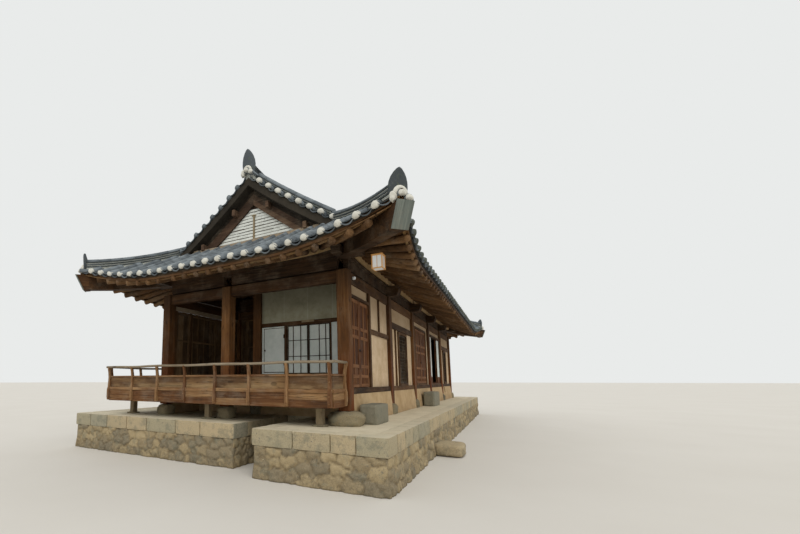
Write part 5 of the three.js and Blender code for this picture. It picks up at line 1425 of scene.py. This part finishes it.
y = -7.0
while y < 7.05:
    end = min(y + 0.29, 7.06)
    for x0, x1 in ((-2.399, -0.48), (-0.48, 2.399)):
        board(floors, x0, x1, y, end, 0.0015)
    y = end
floors.make("floor_boards", FLOOR_WOOD, replaces=["hall_and_room_floor"])
FRONT_VERANDA, LEFT_VERANDA = (-3.7, 2.455, -7.88, -7.006, 0.218), (-3.7, -2.551, -7.006, 7.125, 0.3)
for x0, x1, y, last, step in (FRONT_VERANDA, LEFT_VERANDA):
    while y < last - 0.01:
        end = min(y + step, last)
        board(veranda, x0, x1, y, end, 0.001)
        y = end
veranda.make("veranda_boards", FLOOR_WOOD, replaces=["veranda_floor"])

# Railings

POST_PROFILE = [(-0.02, 1.23), (-0.07, 1.225), (-0.088, 1.3), (-0.09, 1.48), (-0.072, 1.56), (-0.066, 1.7),
                (-0.066, 1.8), (-0.082, 1.93), (-0.1, 2.0), (-0.1, 2.045), (-0.05, 2.045), (-0.04, 1.95),
                (-0.015, 1.82), (-0.01, 1.5)]
RAILINGS = (("front", (-3.745, -7.8803, 0), 0, 6.245, 7, 0.06, 0),
            ("left", (-3.7003, -4.075, 0), -math.pi / 2, 3.8, 4, 0.0, 0),
            ("right", (2.4553, -7.875, 0), math.pi / 2, 0.62, 1, 0.0, 1))


def railing(frame, panels, rail, turn, length, posts, overrun, first):
    """Built along X from 0 with its outer side towards -Y, then turned into place."""
    edges = [0.035 + (length - 0.07) * n / posts for n in range(posts + 1)]
    for a, b in zip(edges, edges[1:]):
        frame.beam((a, -0.043, 1.21), (b, -0.002, 1.35), 0, 0.004, turn)
        frame.beam((a, -0.045, 1.352), (b, -0.002, 1.498), 0, 0.004, turn)
        panels.beam((a, -0.026, 1.548), (b, -0.008, 1.795), 0, 0.003, turn)
    frame.beam((0, -0.062, 1.482), (length, 0, 1.552), 0, 0.006, turn)
    frame.beam((0, -0.052, 1.788), (length, 0, 1.83), 0, 0.006, turn)
    for at in edges[first:]:
        frame.prism(POST_PROFILE, 0, at - 0.038, at + 0.038, 2, turn, narrow=lambda z: 1 - 0.4 * (z - 1.22))
        for y, z in ((-0.088, 1.29), (-0.088, 1.42), (-0.066, 1.68)):
            frame.rod(turn @ Vector((at, y + 0.004, z)), turn @ Vector((at, y - 0.008, z)), 0.011, 8, 0.9)
    count = max(2, round(length / 0.25))
    centre = [Vector((-overrun + (length + 2 * overrun) * n / count, -0.072 + 0.005 * math.sin(n * 1.7),
                      2.05 + 0.006 * math.sin(n * 0.9 + 1))) for n in range(count + 1)]
    rail.tube(centre, 0.027, 12, 0.14, turn)


for name, corner, angle, length, posts, overrun, first in RAILINGS:
    posts_and_rails, panels, rail = Heap(), Heap(), Heap()
    turn = Matrix.Translation(corner) @ Matrix.Rotation(angle, 4, "Z")
    railing(posts_and_rails, panels, rail, turn, length, posts, overrun, first)
    posts_and_rails.make(f"railing_{name}_frame", RAIL_WOOD, replaces=[f"railing_{name}"])
    panels.make(f"railing_{name}_panels", RAIL_PANEL)
    rail.make(f"railing_{name}_handrail", HANDRAIL_WOOD, smooth=True)

# Lantern

wood, panes, wire = Heap(), Heap(), Heap()
HOOK = Vector((3.44, -8.025, 0))


def hung(heap, low, high, run, cut=0.002):
    heap.beam(HOOK + Vector(low), HOOK + Vector(high), run, cut)


for x in (-0.095, 0.077):
    for y in (-0.095, 0.077):
        hung(wood, (x, y, 3.58), (x + 0.018, y + 0.018, 3.825), 2)
for z in (3.582, 3.806):
    for at in (-0.093, 0.077):
        hung(wood, (-0.09, at, z), (0.09, at + 0.016, z + 0.018), 0)
        hung(wood, (at, -0.09, z), (at + 0.016, 0.09, z + 0.018), 1)
for at in (-0.089, 0.083):
    hung(wood, (-0.004, at, 3.59), (0.004, at + 0.006, 3.82), 2, 0.001)
    hung(wood, (at, -0.004, 3.59), (at + 0.006, 0.004, 3.82), 2, 0.001)
hung(wood, (-0.1, -0.1, 3.822), (0.1, 0.1, 3.834), 0, 0.003)
hung(wood, (-0.045, -0.045, 4.07), (0.045, 0.045, 4.095), 0, 0.003)
wire.rod(HOOK + Vector((0, 0, 3.83)), HOOK + Vector((0, 0, 4.075)), 0.0025, 6)
hung(panes, (-0.083, -0.083, 3.588), (0.083, 0.083, 3.822), 2)
wire.make("lantern_wire", IRON)
wood.make("lantern_frame", LANTERN_WOOD, replaces=["lantern"])
panes.make("lantern_panes", GLOW, "paper")

# Platform: earth core, dressed stones along its top edge, rubble below, and stones under the columns

TOP, KERB, SPLIT, NOOK = 0.86, 0.56, 1.19, -5.95
FRONT_STONES = {"right0": [0.836, 0.689, 0.423, 0.512], "left0": [0.62, 0.66, 0.74, 0.69, 0.93, 0.7, 0.89]}


def kerb(stones, start, end, out, seed):
    """Dressed stones along one top edge of the platform, set close."""
    start, end, out = Vector((*start, 0)), Vector((*end, 0)), Vector((*out, 0))
    way, total = (end - start).normalized(), (end - start).length
    pick = random.Random(seed)
    sizes = list(FRONT_STONES.get(seed, []))
    at = 0.0
    while at < total - 0.01:
        size = pick.uniform(0.38, 0.66)
        size = total - at if total - at - size < 0.35 else size
        size = sizes.pop(0) if sizes else size
        p = start + way * (at + 0.004) - out * 0.3
        q = start + way * (at + size - 0.004) + out * pick.uniform(-0.002, 0.006)
        low = (min(p.x, q.x), min(p.y, q.y), KERB + 0.004)
        high = (max(p.x, q.x), max(p.y, q.y), TOP + 0.004)
        shade, place = pick.random(), Vector([pick.uniform(0, 80) for _ in range(3)])
        stones.lump(low, high, 22, 0.008, 6, shade=shade, seed=place)
        at += size


def smooth_step(values, high):
    share = np.clip(values / high, 0, 1)
    return share * share * (3 - 2 * share)


FACE_STEP, FACE_DEPTH, FACE_ROWS, FACE_TOP = 0.026, 0.14, 22, KERB + 0.003


def field_of_noise(along, up, scale, layer):
    return np.array([noise.noise(Vector((a * scale, z * scale, layer))) for a, z in zip(along, up)])


def rubble_walls(name, runs):
    """Fieldstone laid in uneven rows under the dressed stones: a closed slab with a modelled face for each run."""
    points, faces, shades, joints = [], [], [], []
    for number, (start, end, out) in enumerate(runs):
        pick = np.random.default_rng(len(name) * 10 + number)
        start, end, out = (np.array(v, float) for v in (start, end, out))
        total = float(np.hypot(*(end - start)))
        way = (end - start) / total
        seeds = []
        for low, high in ((0.0, 0.2), (0.2, 0.39), (0.39, KERB)):
            at = -pick.uniform(0, 0.3)
            while at < total + 0.2:
                size = pick.uniform(0.14, 0.42)
                seeds.append((at + size / 2, (low + high) / 2 + pick.uniform(-0.06, 0.06)))
                at += size
        seeds = np.array(seeds)
        lean = pick.uniform(-0.12, 0.12, (len(seeds), 2))
        proud, shade_of = pick.uniform(-0.012, 0.012, len(seeds)), pick.random(len(seeds))
        wide = round(total / FACE_STEP) + 1
        along, up = (v.ravel() for v in np.meshgrid(np.linspace(0, total, wide), np.linspace(0, FACE_TOP, FACE_ROWS)))

        # The stone each point is on, and how far it is from the next stone
        gap = (np.abs((along + field_of_noise(along, up, 8, number) * 0.1)[:, None] - seeds[:, 0]) * 0.6) ** 3
        gap += np.abs((up + field_of_noise(along, up, 8, number + 7) * 0.08)[:, None] - seeds[:, 1]) ** 3
        gap = gap ** (1 / 3)
        nearest = gap.argmin(1)
        two = np.partition(gap, 1, axis=1)[:, :2]
        edge = two[:, 1] - two[:, 0]

        # How far it stands out, sinking to the slab's own face at both ends of the run
        rise = smooth_step(edge, 0.06) * 0.036 + proud[nearest] * smooth_step(edge, 0.02)
        rise += lean[nearest, 0] * (along - seeds[nearest, 0]) * 0.5 + lean[nearest, 1] * (up - seeds[nearest, 1])
        rise += 0.014 * field_of_noise(along, up, 14, number)
        rise = np.clip(rise, -0.02, 0.06) - 0.045 + 0.025 * (1 - smooth_step(up, 0.3))
        sunk = 0.015 + 0.02 * smooth_step(up, 0.3)
        hold = smooth_step(np.minimum(along, total - along), 0.07)
        rise = rise * hold - sunk * (1 - hold)
        inside_ends = sunk + (total - 2 * sunk) * along / total
        front = start + way * inside_ends[:, None] + out * rise[:, None]

        base = len(points)
        points += [(x, y, z) for (x, y), z in zip(front, up)]
        for z in (0.0, FACE_TOP):
            for a in np.linspace(0, total, wide):
                x, y = start + way * (FACE_DEPTH + (1 - 2 * FACE_DEPTH / total) * a) - out * FACE_DEPTH
                points.append((x, y, z))
        shades += list(shade_of[nearest]) + [0.5] * (2 * wide)
        joints += list(1 - smooth_step(edge, 0.018)) + [1.0] * (2 * wide)
        slab, last, low_back, high_back = [], FACE_ROWS - 1, FACE_ROWS, FACE_ROWS + 1

        def add(*corners):
            slab.append([base + row * wide + column for row, column in corners])

        for n in range(wide - 1):
            for r in range(last):
                add((r, n), (r, n + 1), (r + 1, n + 1), (r + 1, n))
            add((low_back, n), (high_back, n), (high_back, n + 1), (low_back, n + 1))
            add((0, n), (low_back, n), (low_back, n + 1), (0, n + 1))
            add((last, n), (last, n + 1), (high_back, n + 1), (high_back, n))
        add(*((r, 0) for r in range(FACE_ROWS)), (high_back, 0), (low_back, 0))
        add(*((r, wide - 1) for r in reversed(range(FACE_ROWS))), (low_back, wide - 1), (high_back, wide - 1))
        turned = way[0] * out[1] - way[1] * out[0] > 0
        faces += [f[::-1] for f in slab] if turned else slab
    mesh = bpy.data.meshes.new(name)
    mesh.from_pydata(points, [], faces)
    mark(mesh, shade=shades, joint=joints)
    mesh.materials.append(RUBBLE)
    smooth_faces(mesh)
    mesh.update()
    finished(name, mesh)


CORNER_COLUMN = (2.46, -7.125)
COLUMN_PLACES = [(x, y) for y in (-7.125, 7.125) for x in (-2.46, -0.48, 2.46)]
COLUMN_PLACES += [(x, y / 1000) for y in ROWS for x in (-2.46, 2.46)] + [(-0.48, -5.805), (-0.48, -4.075)]
PADS = [(2.11, -7.575), (-0.75, -7.455), (-3.5, -7.3)]
PADS += [(-3.5, y) for y in (-5.805, -4.075, -1.275, 1.525, 4.325, 6.9)]

for name, x0, x1, y0, y1 in (("right", SPLIT, 3.65, -8.525, 8.525), ("left", -4.74, 0.49, -8.125, 8.525)):
    core, stones, feet, doorsteps = Heap(), Heap(), Heap(), Heap()
    core.beam((x0 + 0.06, y0 + 0.06, 0), (x1 - 0.06, y1 - 0.06, KERB + 0.01), 0, 0.005, shade=0.5)
    core.beam((x0 + 0.04, y0 + 0.04, KERB), (x1 - 0.04, y1 - 0.04, TOP - 0.004), 0, 0.004, shade=0.5)
    if name == "left":
        core.beam((x1 - 0.07, -5.88, 0), (SPLIT, y1 - 0.06, KERB + 0.01), 0, 0.004, shade=0.5)
        core.beam((x1 - 0.05, -5.94, KERB), (SPLIT, y1 - 0.012, TOP - 0.004), 0, 0.004, shade=0.5)
        edges = [((x0, y0), (x1, y0), (0, -1)), ((x0, y1), (x0, y0), (-1, 0)), ((SPLIT, y1), (x0, y1), (0, 1)),
                 ((x1, y0), (x1, NOOK), (1, 0)), ((x1, NOOK), (SPLIT, NOOK), (0, -1))]
    else:
        edges = [((x0, y0), (x1, y0), (0, -1)), ((x1, y0), (x1, y1), (1, 0)), ((x1, y1), (x0, y1), (0, 1)),
                 ((x0, NOOK), (x0, y0), (-1, 0))]
    for n, edge in enumerate(edges):
        kerb(stones, *edge, f"{name}{n}")
    rubble_walls(f"rubble_stones_{name}", edges)
    for x, y in COLUMN_PLACES:
        if (x > SPLIT) == (name == "right"):
            wide, turn, shade = (0.36, 0.3, 0.7) if (x, y) == CORNER_COLUMN else (0.2, 0.0, None)
            feet.lump((x - wide, y - wide * 0.95, 0.8), (x + wide, y + wide * 0.95, 1.125), 3.2, 0.13, 9, turn, shade)
    for x, y in PADS:
        if (x > SPLIT) == (name == "right"):
            turn = chance.uniform(-0.3, 0.3)
            feet.lump((x - 0.15, y - 0.13, 0.845), (x + 0.15, y + 0.13, 0.892), 3.6, 0.15, 5, turn)
    if name == "right":
        for s0, s1, high in ((-6.9, -6.1, 1.24), (-0.5, 0.6, 1.33)):
            doorsteps.lump((2.64, s0, 0.85), (3.0, s1, high), 16, 0.02, 8, seed=Vector((s0, 3, 5)), shade=0.05)
        doorsteps.make("door_steps", DOOR_STEP, "granite")
    core.make(f"platform_core_{name}", PLATFORM, "granite", replaces=[f"platform_{name}"])
    stones.make(f"dressed_stones_{name}", DRESSED, "granite")
    feet.make(f"column_stones_{name}", BOULDER, "granite", smooth=True)

step = Heap()
step.lump((3.6, -4.75, 0.0), (4.24, -4.0, 0.28), 6, 0.05, 7, seed=Vector((8, 3, 1)), shade=0.8)
step.make("step_block", DRESSED, "granite", replaces=["step_stone"], smooth=True)

# CAD nodes that stay, with their finishes

KEPT = {
    BED: ["roof_slope_right", "roof_slope_left", "roof_hip_front", "roof_hip_back"],
    GABLE_WOOD: ["gable_wall_front", "gable_wall_back"],
    PURLIN_X: ["eave_purlins"],
    FRAME_X: ["roof_frame"],
    UNDER_WOOD: ["floor_frame"],
    PLASTER: [f"wall_right_{n}" for n in range(1, 6)] + ["wall_back_left", "wall_back_right", "wall_room_side"],
    PAPER: ["wall_room_front_lower"],
    STRIP_PLASTER: ["wall_left_1"],
    TRANSOM: ["wall_room_front"],
    MUD: ["underfloor_walls"],
}
for material, names in KEPT.items():
    for name in names:
        mesh = frame["nodes"][name].data
        mesh.materials.clear()
        mesh.materials.append(material)

# The floor that the house stands on in the renders

ground = bpy.data.meshes.new("ground")
ground.from_pydata([(x * 400, y * 400, -0.003) for x, y in ((-1, -1), (1, -1), (1, 1), (-1, 1))], [], [[0, 1, 2, 3]])
ground.materials.append(FLOOR)
put("ground", ground)
